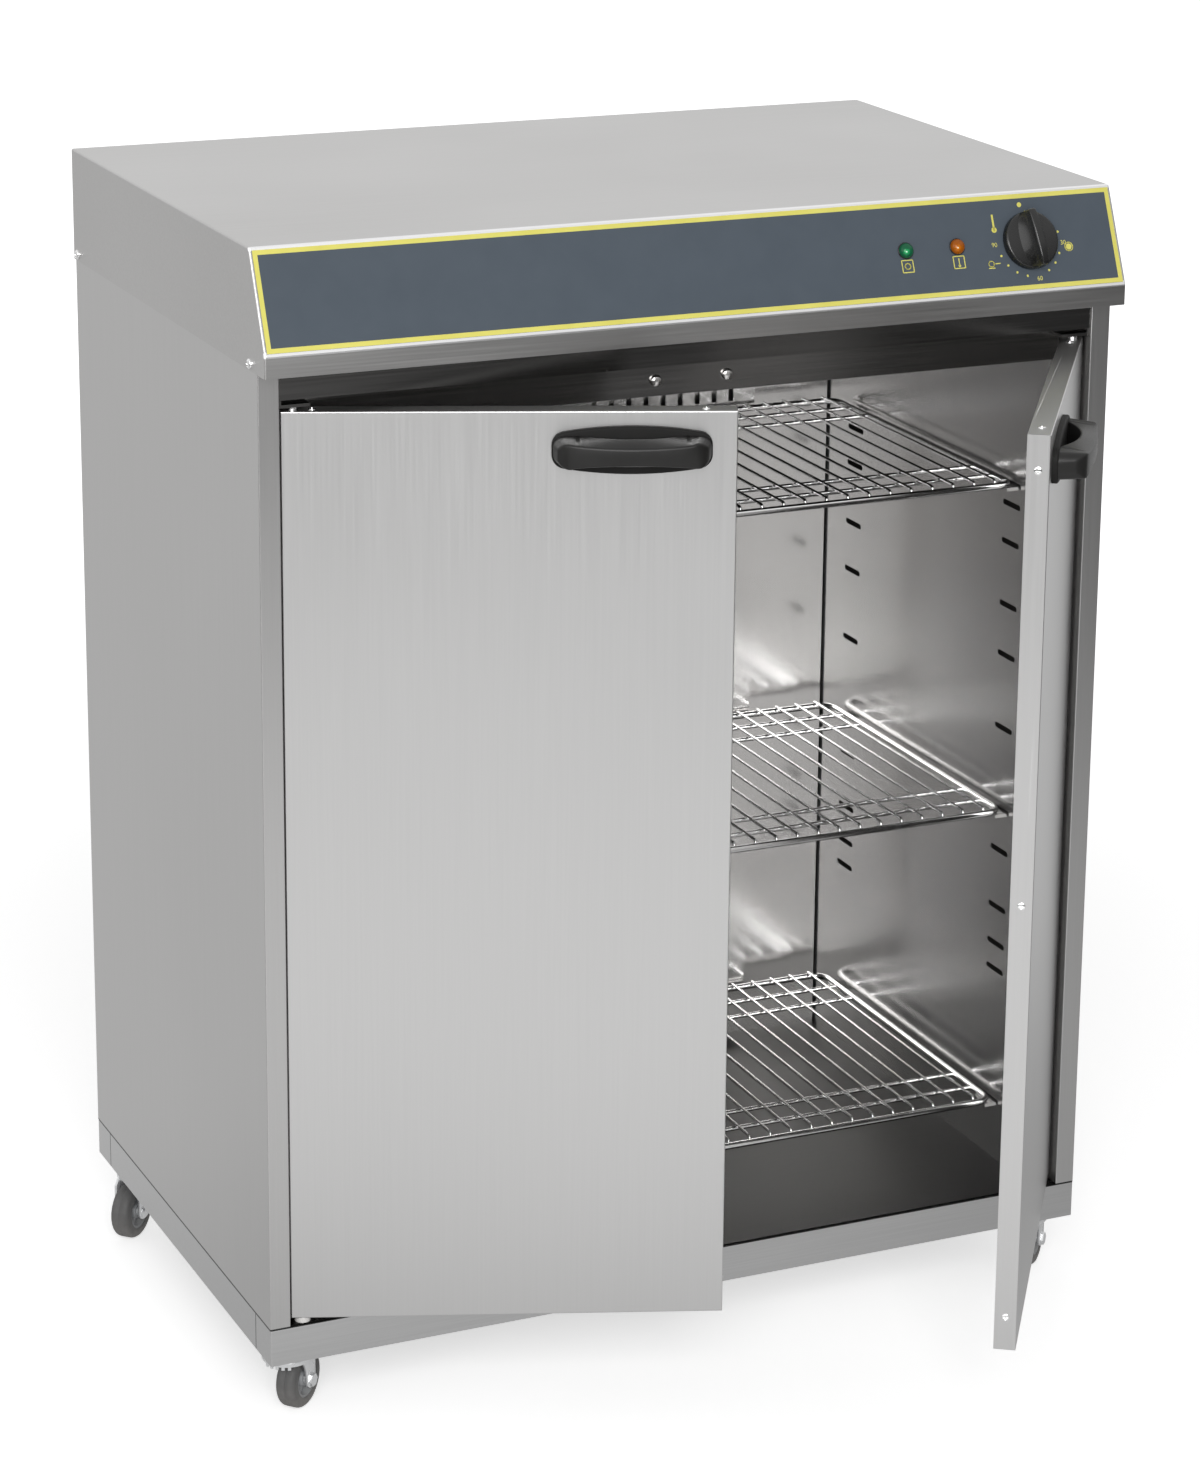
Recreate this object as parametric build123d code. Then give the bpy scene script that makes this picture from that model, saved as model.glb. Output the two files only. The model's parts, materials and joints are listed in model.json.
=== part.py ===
from build123d import *
import math
import os

os.makedirs("parts", exist_ok=True)

# Heated plate cupboard on castors: a double-skinned steel body with two doors, wire shelves and a
# sloping control panel. Millimetres, Z up. The front faces -Y, and the origin lies on the floor
# under the middle of the body. The doors stand open, as they are when the cupboard is loaded.

# Heights, stacked from the floor up
CASTOR_HEIGHT = 64.0
PLINTH_HEIGHT = 32.0
DOOR_SILL_GAP = 6.0
DOOR_HEIGHT = 756.0
DOOR_HEAD_GAP = 9.0
HEADER_HEIGHT = 23.0
LIP_HEIGHT = 17.0
FASCIA_RISE = 78.0

# Width and depth
CAP_WIDTH = 750.0
BODY_DEPTH = 468.0
LIP_OVERHANG = 21.0
FASCIA_RUN = 34.0
COLUMN_WIDTH = 17.5
SIDE_SPACE = 41.5
REAR_SPACE = 40.0
CORNER_SEAM = 2.0

# Sheet metal
SHEET = 1.0
CAP_SHEET = 1.2
PLINTH_SHEET = 1.2
FOLD_RADIUS = 1.5
FOLD_LIMIT = 0.9
CAP_CLEARANCE = 0.3
CAP_OVERLAP = 24.0
SEAM = 0.3
PLINTH_WRAP = 36.0
PLINTH_FLANGE = 30.0
FLANGE_MARGIN = 8.0
FLOOR_SETBACK = 2.0
REAR_FLANGE = 15.0
HEADER_SETBACK = 2.0
HEADER_RETURN = 12.0
HEADER_RISE = 10.0
STOP_OVERLAP = 20.0

# Doors and their pivots
DOOR_THICKNESS = 18.0
DOOR_SIDE_GAP = 4.0
DOOR_CENTRE_GAP = 3.0
DOOR_STOP_GAP = 4.5
LINER_FLANGE = 14.0
NEST_CLEARANCE = 0.1
LEFT_DOOR_ANGLE = 21.0
RIGHT_DOOR_ANGLE = 56.0
PIVOT_INSET = 9.0
PIVOT_SETBACK = 8.0
PIN_RADIUS = 4.0
PIN_REACH = 14.0
PIN_CLEARANCE = 0.05
PIN_HOLE_CLEARANCE = 0.6
PIVOT_BLOCK_WIDTH = 18.0
PIVOT_BLOCK_HEIGHT = 16.0
BRACKET_SHEET = 2.5
BRACKET_GAP = 2.5
BRACKET_REACH = 26.0
BRACKET_DEPTH = 18.0
BRACKET_LEG = 20.0
BUSH_RADIUS = 6.5
BUSH_CLEARANCE = 0.3
CATCH_RADIUS = 5.0
CATCH_OFFSET = 31.5
CATCH_RISE = 13.0
CATCH_GAP = 0.4

# Door handles
HANDLE_LENGTH = 124.0
HANDLE_HEIGHT = 38.0
HANDLE_END_HEIGHT = 24.0
HANDLE_BASE = 5.0
HANDLE_BOW = 30.0
HANDLE_END_DEPTH = 19.0
HANDLE_GRIP_DEPTH = 13.0
HANDLE_GRIP_END = 22.5
HANDLE_GRIP_WAIST = 13.5
HANDLE_LEG = 17.0
HANDLE_STEP = 0.5
HANDLE_CORNER = 8.0
HANDLE_CORNER_LIMIT = 0.8
HANDLE_EDGE_GAP = 19.5
HANDLE_DROP = 30.0

# Screws
SCREW_RADIUS = 1.6
SCREW_HEAD_RADIUS = 3.2
SCREW_HEAD_HEIGHT = 1.0
SCREW_LENGTH = 5.0
SCREW_CLEARANCE = 0.1
DOOR_SCREW_END = 28.0
DOOR_SCREW_SIDE = 24.0
CAP_SCREW_RISE = 5.5
CAP_SCREW_FRONT = 12.0
CAP_SCREW_REAR = 11.0

# Shelf wall slots, measured up from the cavity floor and back from the body's front
SLOT_LENGTH = 30.0
SLOT_HEIGHT = 5.0
SLOT_FRONT = 80.0
SLOT_REAR = 372.0
SPARE_SLOTS = (177.0, 201.0, 235.0, 288.0, 400.0, 466.0, 511.0, 567.0, 601.0)

# Wire shelves and their clips
SHELF_LEVELS = {"lower": 58.0, "middle": 329.0, "upper": 623.0}
SHELF_SIDE_GAP = 4.0
SHELF_FRONT = 64.0
SHELF_REAR_GAP = 5.0
FRAME_RADIUS = 3.0
CROSS_RADIUS = 2.5
WIRE_RADIUS = 1.75
WIRE_PITCH = 20.0
WELD = 0.4
CROSS_SPACING = 22.0
SHELF_SEAT = 0.1
CLIP_THICKNESS = 3.0
CLIP_REACH = 12.0
CLIP_HOOK = 2.0
CLIP_DROP = 8.0
CLIP_PLAY = 0.2

# Rear air duct, heater and insulation
COVER_WIDTH = 490.0
COVER_HEAD_GAP = 71.0
COVER_DEPTH = 21.0
COVER_RISE = 10.0
VENT_WIDTH = 5.0
VENT_HEIGHT = 14.0
VENT_PITCH = 17.0
VENT_INSET = 34.0
VENT_EDGE = 20.0
HEATER_RADIUS = 4.0
HEATER_LEG_PITCH = 120.0
HEATER_HEIGHT = 470.0
HEATER_RISE = 70.0
HEATER_BEND = 25.0
HEATER_CLIP_WIDTH = 18.0
HEATER_CLIP_HEIGHT = 12.0
HEATER_CLIP_WALL = 3.0
WALL_AIR = 8.0
SLAB_CLEARANCE = 0.5
TOP_SLAB = 36.0
BACK_SLAB_INSET = 30.0

# Control panel
DECAL_MARGIN = 2.5
DECAL_THICKNESS = 0.5
KNOB_END_GAP = 84.5
KNOB_RADIUS = 24.0
KNOB_SKIRT = 7.0
KNOB_BEVEL = 2.3
KNOB_HEIGHT = 21.0
KNOB_GRIP_WIDTH = 10.0
KNOB_GRIP_RADIUS = 20.2
KNOB_GAP = 1.0
SPINDLE_RADIUS = 3.0
SPINDLE_HOLE = 5.0
SPINDLE_IN_KNOB = 13.0
SPINDLE_IN_BODY = 12.0
BORE_END_GAP = 1.0
THERMOSTAT_SIZE = 44.0
THERMOSTAT_DEPTH = 30.0
LAMP_KNOB_GAP = 66.7
LAMP_PITCH = 47.0
LAMP_RADIUS = 5.5
LAMP_COLLAR = 7.0
LAMP_COLLAR_HEIGHT = 1.2
LAMP_LENS = 6.2
LAMP_DOME = 5.0
LAMP_LENGTH = 22.0
LAMP_CLEARANCE = 0.2

# Mains connection
TERMINAL_LENGTH = 60.0
TERMINAL_DEPTH = 20.0
TERMINAL_HEIGHT = 22.0
TERMINAL_END_GAP = 225.0
TERMINAL_DROP = 4.0
TERMINAL_WAYS = 5
TERMINAL_WAY_RADIUS = 3.5
TERMINAL_WAY_DEPTH = 12.0
GLAND_END_GAP = 145.0
GLAND_DROP = 28.0
GLAND_RADIUS = 12.0
GLAND_FLANGE = 6.0
GLAND_NUT_RADIUS = 9.5
GLAND_NUT = 16.0
GLAND_NUT_ROUND = 2.0
GLAND_THREAD = 8.0
GLAND_BORE = 4.5
GLAND_TAIL = 6.0
GLAND_CLEARANCE = 0.1

# Castors
CASTOR_SIDE_INSET = 27.0
CASTOR_END_INSET = 37.0
CASTOR_PLATE = 50.0
CASTOR_PLATE_THICKNESS = 3.0
CASTOR_RING_RADIUS = 22.0
CASTOR_RING = 4.0
CASTOR_RACE_GAP = 0.3
CASTOR_TRAIL = 18.0
KINGPIN_RADIUS = 4.0
KINGPIN_HEAD_RADIUS = 7.0
KINGPIN_HEAD = 1.3
KINGPIN_PLAY = 0.1
FORK_SHEET = 2.5
FORK_CROWN_RADIUS = 21.0
FORK_FOOT_RADIUS = 9.0
FORK_WHEEL_GAP = 1.5
WHEEL_RADIUS = 25.0
WHEEL_WIDTH = 18.0
TYRE_DEPTH = 9.0
TYRE_ROUND = 5.0
CORE_WIDTH = 16.5
CORE_RECESS = 4.0
CORE_RIM = 2.5
HUB_RADIUS = 7.0
AXLE_RADIUS = 4.0
AXLE_HEAD_RADIUS = 6.5
AXLE_HEAD = 2.0
CASTOR_YAWS = {
    "front_left": 42.0,
    "front_right": 46.0,
    "rear_left": -136.0,
    "rear_right": 40.0,
}

# Levels and planes that the sizes above lead to
PLINTH_TOP = CASTOR_HEIGHT + PLINTH_HEIGHT
FLOOR_TOP = PLINTH_TOP + SHEET
DOOR_BOTTOM = PLINTH_TOP + DOOR_SILL_GAP
DOOR_TOP = DOOR_BOTTOM + DOOR_HEIGHT
HEADER_BOTTOM = DOOR_TOP + DOOR_HEAD_GAP
CAP_BOTTOM = HEADER_BOTTOM + HEADER_HEIGHT
FASCIA_BOTTOM = CAP_BOTTOM + LIP_HEIGHT
CAP_TOP = FASCIA_BOTTOM + FASCIA_RISE
PANEL_TOP = CAP_BOTTOM + CAP_OVERLAP
CEILING = DOOR_TOP - STOP_OVERLAP
FRONT = -BODY_DEPTH / 2
BACK = BODY_DEPTH / 2
LIP_FRONT = FRONT - LIP_OVERHANG
DECK_FRONT = LIP_FRONT + FASCIA_RUN
CAP_BACK = BACK + CAP_CLEARANCE + CAP_SHEET
HALF_CAP = CAP_WIDTH / 2
HALF_BODY = HALF_CAP - CAP_SHEET - CAP_CLEARANCE
JAMB = HALF_BODY - COLUMN_WIDTH
STOP_FACE = FRONT + DOOR_THICKNESS + DOOR_STOP_GAP
HALF_CAVITY = HALF_BODY - SIDE_SPACE
CAVITY_BACK = BACK - REAR_SPACE
COVER_FACE = CAVITY_BACK - COVER_DEPTH
DOOR_HINGE_X = JAMB - DOOR_SIDE_GAP
DOOR_FREE_X = DOOR_CENTRE_GAP / 2
PIVOT_X = DOOR_HINGE_X - PIVOT_INSET
PIVOT_Y = FRONT + PIVOT_SETBACK
KNOB_X = HALF_CAP - KNOB_END_GAP
ORANGE_X = KNOB_X - LAMP_KNOB_GAP
GREEN_X = ORANGE_X - LAMP_PITCH
TERMINAL_X = HALF_CAP - TERMINAL_END_GAP
GLAND_X = HALF_CAP - GLAND_END_GAP
FASCIA_LENGTH = math.hypot(FASCIA_RUN, FASCIA_RISE)
FASCIA_PLANE = Plane(
    origin=(0, (LIP_FRONT + DECK_FRONT) / 2, (FASCIA_BOTTOM + CAP_TOP) / 2),
    x_dir=(1, 0, 0),
    z_dir=(0, -FASCIA_RISE, FASCIA_RUN),
)
LEFT = -1
RIGHT = 1
BASE = (Align.CENTER, Align.CENTER, Align.MIN)


def block(x0, x1, y0, y1, z0, z1):
    """A box between two opposite corners, given in any order."""
    size = Box(abs(x1 - x0), abs(y1 - y0), abs(z1 - z0))
    return Pos((x0 + x1) / 2, (y0 + y1) / 2, (z0 + z1) / 2) * size


def rod(axis, length, radius, x, y, z):
    """A round bar of the given length, centred on a point and lying along one axis."""
    turn = {"x": Rot(0, 90, 0), "y": Rot(90, 0, 0), "z": Rot(0, 0, 0)}[axis]
    return Pos(x, y, z) * turn * Cylinder(radius, length)


def on_fascia(x, height):
    """A place on the sloping panel, level with its middle and a height above its outer face."""
    return FASCIA_PLANE.location * Pos(x, 0, height)


def sheet_fold():
    """Outside radius of a fold in thin sheet, limited by the sheet's thickness."""
    return min(FOLD_RADIUS, FOLD_LIMIT * SHEET)


def screw():
    """A small domed screw that points down from the origin, its head seated on Z = 0."""
    head = Cone(SCREW_HEAD_RADIUS, SCREW_HEAD_RADIUS / 2, SCREW_HEAD_HEIGHT, align=BASE)
    shank = Pos(0, 0, -SCREW_LENGTH) * Cylinder(SCREW_RADIUS, SCREW_LENGTH, align=BASE)
    return head + shank


def screw_hole():
    """The round cut that clears a screw's shank on both sides of the sheet it passes."""
    return Cylinder(SCREW_RADIUS + SCREW_CLEARANCE, 2 * SCREW_LENGTH)


# Plinth and floor


def plinth_end_rail(face, inward):
    """Front or rear rail: a channel that wraps round both corners and carries the castors."""
    wrap = face + inward * PLINTH_WRAP
    outer = block(-HALF_BODY, HALF_BODY, face, wrap, CASTOR_HEIGHT, PLINTH_TOP)
    corners = outer.edges().filter_by(Axis.Z).sort_by(lambda e: inward * e.center().Y)[:2]
    outer = fillet(corners, FOLD_RADIUS)
    inside = HALF_BODY - PLINTH_SHEET
    hollow = block(
        -inside,
        inside,
        face + inward * PLINTH_SHEET,
        wrap,
        CASTOR_HEIGHT + PLINTH_SHEET,
        PLINTH_TOP - PLINTH_SHEET,
    )
    reach = CASTOR_END_INSET + CASTOR_PLATE / 2 + FLANGE_MARGIN
    ledge = block(
        -inside + SEAM,
        inside - SEAM,
        wrap,
        face + inward * reach,
        CASTOR_HEIGHT,
        CASTOR_HEIGHT + PLINTH_SHEET,
    )
    return outer - hollow + ledge


def plinth_side_rail(side):
    """Side rail between the wrapped corners, with a ledge for the floor and the side panel."""
    outer = side * HALF_BODY
    start = FRONT + PLINTH_WRAP + SEAM
    end = BACK - PLINTH_WRAP - SEAM
    face = block(outer, outer - side * PLINTH_SHEET, start, end, CASTOR_HEIGHT, PLINTH_TOP)
    ledge = block(outer, outer - side * PLINTH_FLANGE, start, end, PLINTH_TOP - PLINTH_SHEET, PLINTH_TOP)
    return face + ledge


def cavity_floor():
    """Floor of the heated space, lying on the plinth's ledges between the door jambs."""
    half = JAMB - SEAM
    return block(-half, half, FRONT + FLOOR_SETBACK, BACK - SHEET, PLINTH_TOP, FLOOR_TOP)


# Outer body


def cap_screw_places(side):
    """Where the two screws on one side of the cap sit, as places whose Z points outwards."""
    height = CAP_BOTTOM + CAP_SCREW_RISE
    return [
        Pos(side * HALF_CAP, y, height) * Rot(0, side * 90, 0)
        for y in (FRONT + CAP_SCREW_FRONT, BACK - CAP_SCREW_REAR)
    ]


def side_panel(side):
    """Outer side sheet, folded into the front column, its jamb and a rear flange."""
    outer = side * HALF_BODY
    skin = block(outer, outer - side * SHEET, FRONT, BACK - SHEET, PLINTH_TOP, PANEL_TOP)
    column = block(outer, side * JAMB, FRONT, FRONT + SHEET, PLINTH_TOP, PANEL_TOP)
    jamb = block(side * JAMB, side * (JAMB + SHEET), FRONT, STOP_FACE, PLINTH_TOP, PANEL_TOP)
    rear = block(outer, outer - side * REAR_FLANGE, BACK - 2 * SHEET, BACK - SHEET, PLINTH_TOP, PANEL_TOP)
    panel = skin + column + jamb + rear
    folds = [
        e
        for e in panel.edges().filter_by(Axis.Z)
        if abs(e.center().Y - FRONT) < SEAM and abs(e.center().X) > JAMB - SEAM
    ]
    panel = fillet(folds, sheet_fold())
    return panel - [place * screw_hole() for place in cap_screw_places(side)]


def rear_panel():
    """Outer back sheet, with a hole for the cable gland."""
    sheet = block(-HALF_BODY, HALF_BODY, BACK - SHEET, BACK, PLINTH_TOP, PANEL_TOP)
    hole = rod("y", 4 * SHEET, GLAND_THREAD + GLAND_CLEARANCE, GLAND_X, BACK, CAP_BOTTOM - GLAND_DROP)
    return sheet - hole


def top_cap():
    """Folded cap: worktop, sloping control panel, lip and the flanges over the body."""
    outline = make_face(
        Polyline(
            (CAP_BACK, CAP_BOTTOM),
            (CAP_BACK, CAP_TOP),
            (DECK_FRONT, CAP_TOP),
            (LIP_FRONT, FASCIA_BOTTOM),
            (LIP_FRONT, CAP_BOTTOM),
            close=True,
        )
    )
    inline = offset(outline, -CAP_SHEET, kind=Kind.INTERSECTION)
    shell = extrude(Plane.YZ * outline, HALF_CAP, both=True)
    shell = fillet([e for e in shell.edges() if e.center().Z > CAP_BOTTOM + SEAM], FOLD_RADIUS)
    inside = HALF_CAP - CAP_SHEET
    hollow = extrude(Plane.YZ * inline, inside, both=True)
    mouth = block(
        -inside, inside, FRONT - CAP_CLEARANCE, CAP_BACK - CAP_SHEET, CAP_BOTTOM, CAP_BOTTOM + 2 * CAP_SHEET
    )
    holes = [on_fascia(KNOB_X, 0) * Cylinder(SPINDLE_HOLE, 4 * CAP_SHEET)]
    for x in (GREEN_X, ORANGE_X):
        holes.append(on_fascia(x, 0) * Cylinder(LAMP_RADIUS + LAMP_CLEARANCE, 4 * CAP_SHEET))
    for side in (LEFT, RIGHT):
        holes += [place * screw_hole() for place in cap_screw_places(side)]
    return shell - hollow - mouth - holes


def header_strip():
    """Strip above the doors that closes the front under the lip."""
    top = CAP_BOTTOM + HEADER_RISE
    face = FRONT + HEADER_SETBACK
    strip = block(-JAMB, JAMB, face, face + SHEET, HEADER_BOTTOM, top)
    back = block(-JAMB, JAMB, face, face + HEADER_RETURN, top - SHEET, top)
    return strip + back


def door_stop_rail():
    """Rail above the cavity mouth that the door tops close against."""
    half = JAMB + SHEET
    return block(-half, half, STOP_FACE, STOP_FACE + SHEET, CEILING, CAP_BOTTOM)


# Inner liner


def slot_levels():
    """Heights of the wall slots' middles: those that hold a shelf, then the spare ones."""
    used = [clip_bottom(level) + SLOT_HEIGHT / 2 for level in SHELF_LEVELS.values()]
    return used + [FLOOR_TOP + height for height in SPARE_SLOTS]


def clip_bottom(level):
    """Underside of the clips that carry a shelf at this height above the cavity floor."""
    return FLOOR_TOP + level - FRAME_RADIUS - SHELF_SEAT - CLIP_THICKNESS


def clip_width():
    """Width of a shelf clip, which fits the straight part of its slot."""
    return SLOT_LENGTH - SLOT_HEIGHT - 2 * CLIP_PLAY


def inner_wall(side):
    """Side wall of the cavity with its shelf slots and the flange behind the door."""
    face = side * HALF_CAVITY
    wall = block(face, face + side * SHEET, STOP_FACE, CAVITY_BACK + SHEET, FLOOR_TOP, CEILING)
    flange = block(face, side * (JAMB + SHEET), STOP_FACE, STOP_FACE + SHEET, FLOOR_TOP, CEILING)
    slot = extrude(Plane.YZ * SlotOverall(SLOT_LENGTH, SLOT_HEIGHT), 2 * SHEET, both=True)
    cuts = [
        Pos(face, FRONT + y, z) * slot
        for y in (SLOT_FRONT, SLOT_REAR)
        for z in slot_levels()
    ]
    return wall + flange - cuts


def inner_back_wall():
    """Back wall of the cavity, with an open seam beside each side wall."""
    half = HALF_CAVITY - CORNER_SEAM
    return block(-half, half, CAVITY_BACK, CAVITY_BACK + SHEET, FLOOR_TOP, CEILING)


def inner_ceiling():
    """Ceiling of the cavity, lying on its walls behind the door stop rail."""
    half = HALF_CAVITY + SHEET
    return block(-half, half, STOP_FACE + SHEET, CAVITY_BACK + SHEET, CEILING, CEILING + SHEET)


def rear_duct_cover():
    """Tray over the heater on the back wall, with a row of vents near its top and its foot."""
    half = COVER_WIDTH / 2
    foot = FLOOR_TOP + COVER_RISE
    head = CEILING - COVER_HEAD_GAP
    tray = block(-half, half, COVER_FACE, CAVITY_BACK, foot, head)
    hollow = block(
        -half + SHEET, half - SHEET, COVER_FACE + SHEET, CAVITY_BACK, foot + SHEET, head - SHEET
    )
    count = int((COVER_WIDTH - 2 * VENT_EDGE) / VENT_PITCH) + 1
    vents = [
        Pos((i - (count - 1) / 2) * VENT_PITCH, COVER_FACE, z) * Box(VENT_WIDTH, 4 * SHEET, VENT_HEIGHT)
        for i in range(count)
        for z in (foot + VENT_INSET, head - VENT_INSET)
    ]
    return tray - hollow - vents


def insulation_slabs():
    """Mineral wool between the liner and the outer sheets: two sides, the back and the top."""
    start = STOP_FACE + SHEET + SLAB_CLEARANCE
    inner = HALF_CAVITY + SHEET + WALL_AIR
    outer = HALF_BODY - SHEET - SLAB_CLEARANCE
    sides = [
        block(side * inner, side * outer, start, CAVITY_BACK, FLOOR_TOP, CEILING) for side in (LEFT, RIGHT)
    ]
    back_half = HALF_CAVITY - BACK_SLAB_INSET
    back = block(
        -back_half,
        back_half,
        CAVITY_BACK + SHEET + SLAB_CLEARANCE,
        BACK - SHEET - SLAB_CLEARANCE,
        FLOOR_TOP,
        CEILING,
    )
    top = block(
        -HALF_CAVITY, HALF_CAVITY, start, CAVITY_BACK, CEILING + SHEET, CEILING + SHEET + TOP_SLAB
    )
    return Compound([*sides, back, top])


# Heater


def heater_y():
    """Depth of the heater's plane, midway between the duct cover and the back wall."""
    return (COVER_FACE + SHEET + CAVITY_BACK) / 2


def heater_legs():
    """The four upright runs of the heater, from left to right."""
    return [(i - 1.5) * HEATER_LEG_PITCH for i in range(4)]


def heating_element():
    """Sheathed tube heater bent into four upright legs behind the duct cover."""
    foot = FLOOR_TOP + HEATER_RISE
    head = foot + HEATER_HEIGHT
    y = heater_y()
    a, b, c, d = heater_legs()
    route = [(a, head), (a, foot), (b, foot), (b, head), (c, head), (c, foot), (d, foot), (d, head)]
    path = FilletPolyline(*[(x, y, z) for x, z in route], radius=HEATER_BEND)
    return sweep(Plane(origin=path @ 0, z_dir=path % 0) * Circle(HEATER_RADIUS), path=path)


def heater_clips():
    """Saddles that hold each leg of the heater to the back wall."""
    y = heater_y()
    z = FLOOR_TOP + HEATER_RISE + HEATER_HEIGHT / 2
    half = HEATER_CLIP_WIDTH / 2
    front = y - HEATER_RADIUS - HEATER_CLIP_WALL
    bore = HEATER_RADIUS + PIN_CLEARANCE
    clips = []
    for x in heater_legs():
        saddle = block(x - half, x + half, front, CAVITY_BACK, z, z + HEATER_CLIP_HEIGHT)
        clips.append(saddle - rod("z", 4 * HEATER_CLIP_HEIGHT, bore, x, y, z))
    return Compound(clips)


# Shelves


def wire_shelf():
    """Welded wire shelf, centred on X, with its frame's middle at Z = 0."""
    half = HALF_CAVITY - SHELF_SIDE_GAP - FRAME_RADIUS
    front = FRONT + SHELF_FRONT + FRAME_RADIUS
    back = COVER_FACE - SHELF_REAR_GAP - FRAME_RADIUS
    middle = (front + back) / 2
    depth = back - front + 2 * FRAME_RADIUS
    width = 2 * (half + FRAME_RADIUS)
    frame = [rod("x", width, FRAME_RADIUS, 0, y, 0) for y in (front, back)]
    frame += [rod("y", depth, FRAME_RADIUS, x, middle, 0) for x in (-half, half)]
    offsets = (CROSS_SPACING, 2 * CROSS_SPACING)
    levels = [front + d for d in offsets] + [back - d for d in offsets]
    frame += [rod("x", 2 * half, CROSS_RADIUS, 0, y, 0) for y in levels]
    count = int((2 * half - FRAME_RADIUS) / WIRE_PITCH)
    top = FRAME_RADIUS + WIRE_RADIUS - WELD
    wires = [
        rod("y", depth, WIRE_RADIUS, (i - (count - 1) / 2) * WIRE_PITCH, middle, top) for i in range(count)
    ]
    return frame[0].fuse(*frame[1:], *wires)


def shelf_clips():
    """Clips hooked into the wall slots, four to a shelf."""
    clips = []
    for level in SHELF_LEVELS.values():
        z = clip_bottom(level)
        for side in (LEFT, RIGHT):
            tip = side * (HALF_CAVITY - CLIP_REACH)
            hook = side * (HALF_CAVITY + SHEET + CLIP_PLAY)
            for y in (FRONT + SLOT_FRONT, FRONT + SLOT_REAR):
                y0 = y - clip_width() / 2
                y1 = y + clip_width() / 2
                tab = block(tip, hook + side * CLIP_HOOK, y0, y1, z, z + CLIP_THICKNESS)
                tail = block(hook, hook + side * CLIP_HOOK, y0, y1, z - CLIP_DROP, z)
                clips.append(tab + tail)
    return Compound(clips)


# Doors, modelled closed and then swung open about their pivots


def swing(side, angle, shape):
    """Turns a closed door's piece to its open angle about the door's pivot."""
    x = side * PIVOT_X
    return Pos(x, PIVOT_Y, 0) * Rot(0, 0, side * angle) * Pos(-x, -PIVOT_Y, 0) * shape


def door_box(side, inset, front, back):
    """A box the shape of a closed door, drawn in all round and between two depths."""
    return block(
        side * (DOOR_HINGE_X - inset),
        side * (DOOR_FREE_X + inset),
        FRONT + front,
        FRONT + back,
        DOOR_BOTTOM + inset,
        DOOR_TOP - inset,
    )


def door_screw_places(side):
    """Where the screws through a door's edges sit, as places whose Z points outwards."""
    y = FRONT + DOOR_THICKNESS / 2
    edge = side * DOOR_FREE_X
    middle = (DOOR_BOTTOM + DOOR_TOP) / 2
    heights = (DOOR_BOTTOM + DOOR_SCREW_END, middle, DOOR_TOP - DOOR_SCREW_END)
    places = [Pos(edge, y, z) * Rot(0, -side * 90, 0) for z in heights]
    for x in (side * (DOOR_HINGE_X - DOOR_SCREW_SIDE), side * (DOOR_FREE_X + DOOR_SCREW_SIDE)):
        places.append(Pos(x, y, DOOR_TOP))
        places.append(Pos(x, y, DOOR_BOTTOM) * Rot(180, 0, 0))
    return places


def pivot_hole(side, radius):
    """The upright cut that a door's pins need, through its whole height."""
    middle = (DOOR_BOTTOM + DOOR_TOP) / 2
    return rod("z", 2 * DOOR_HEIGHT, radius, side * PIVOT_X, PIVOT_Y, middle)


def door_cuts(side):
    """Pin and screw holes through a door's folded edges."""
    holes = [place * screw_hole() for place in door_screw_places(side)]
    return holes + [pivot_hole(side, PIN_RADIUS + PIN_HOLE_CLEARANCE)]


def door_skin(side):
    """Outer pan of a door: the front sheet and its four folded edges."""
    outer = door_box(side, 0, 0, DOOR_THICKNESS)
    outer = fillet(outer.faces().sort_by(Axis.Y)[0].edges(), sheet_fold())
    return outer - door_box(side, SHEET, SHEET, DOOR_THICKNESS) - door_cuts(side)


def liner_inset():
    """How far inside the door's outline the liner's flanges begin."""
    return SHEET + NEST_CLEARANCE


def door_liner(side):
    """Inner pan of a door, nested in the outer one and closing its back."""
    inset = liner_inset()
    outer = door_box(side, inset, DOOR_THICKNESS - LINER_FLANGE, DOOR_THICKNESS)
    hollow = door_box(side, inset + SHEET, DOOR_THICKNESS - LINER_FLANGE, DOOR_THICKNESS - SHEET)
    return outer - hollow - door_cuts(side)


def pivot_block(side, bottom, clearance):
    """The space of one bearing block at a door's hinge corner, grown all round by a clearance."""
    edge = DOOR_HINGE_X - liner_inset() - SHEET
    return block(
        side * (edge + clearance),
        side * (edge - PIVOT_BLOCK_WIDTH - clearance),
        FRONT + SHEET,
        FRONT + DOOR_THICKNESS - SHEET,
        bottom - clearance,
        bottom + PIVOT_BLOCK_HEIGHT + clearance,
    )


def pivot_block_levels():
    """Undersides of a door's two bearing blocks."""
    inset = liner_inset() + SHEET
    return (DOOR_BOTTOM + inset, DOOR_TOP - inset - PIVOT_BLOCK_HEIGHT)


def door_pivot_blocks(side):
    """Bearing blocks in a door's hinge corners that turn on the cabinet's pins."""
    bore = pivot_hole(side, PIN_RADIUS + PIN_CLEARANCE)
    return Compound([pivot_block(side, z, 0) - bore for z in pivot_block_levels()])


def door_insulation(side):
    """Slab that fills a door between its two pans, cut round the blocks and the screws."""
    inset = liner_inset() + SHEET + SLAB_CLEARANCE
    slab = door_box(side, inset, SHEET + SLAB_CLEARANCE, DOOR_THICKNESS - SHEET - SLAB_CLEARANCE)
    blocks = [pivot_block(side, z, SLAB_CLEARANCE) for z in pivot_block_levels()]
    screws = [place * Cylinder(SCREW_HEAD_RADIUS, 4 * SCREW_LENGTH) for place in door_screw_places(side)]
    return slab - blocks - screws


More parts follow.
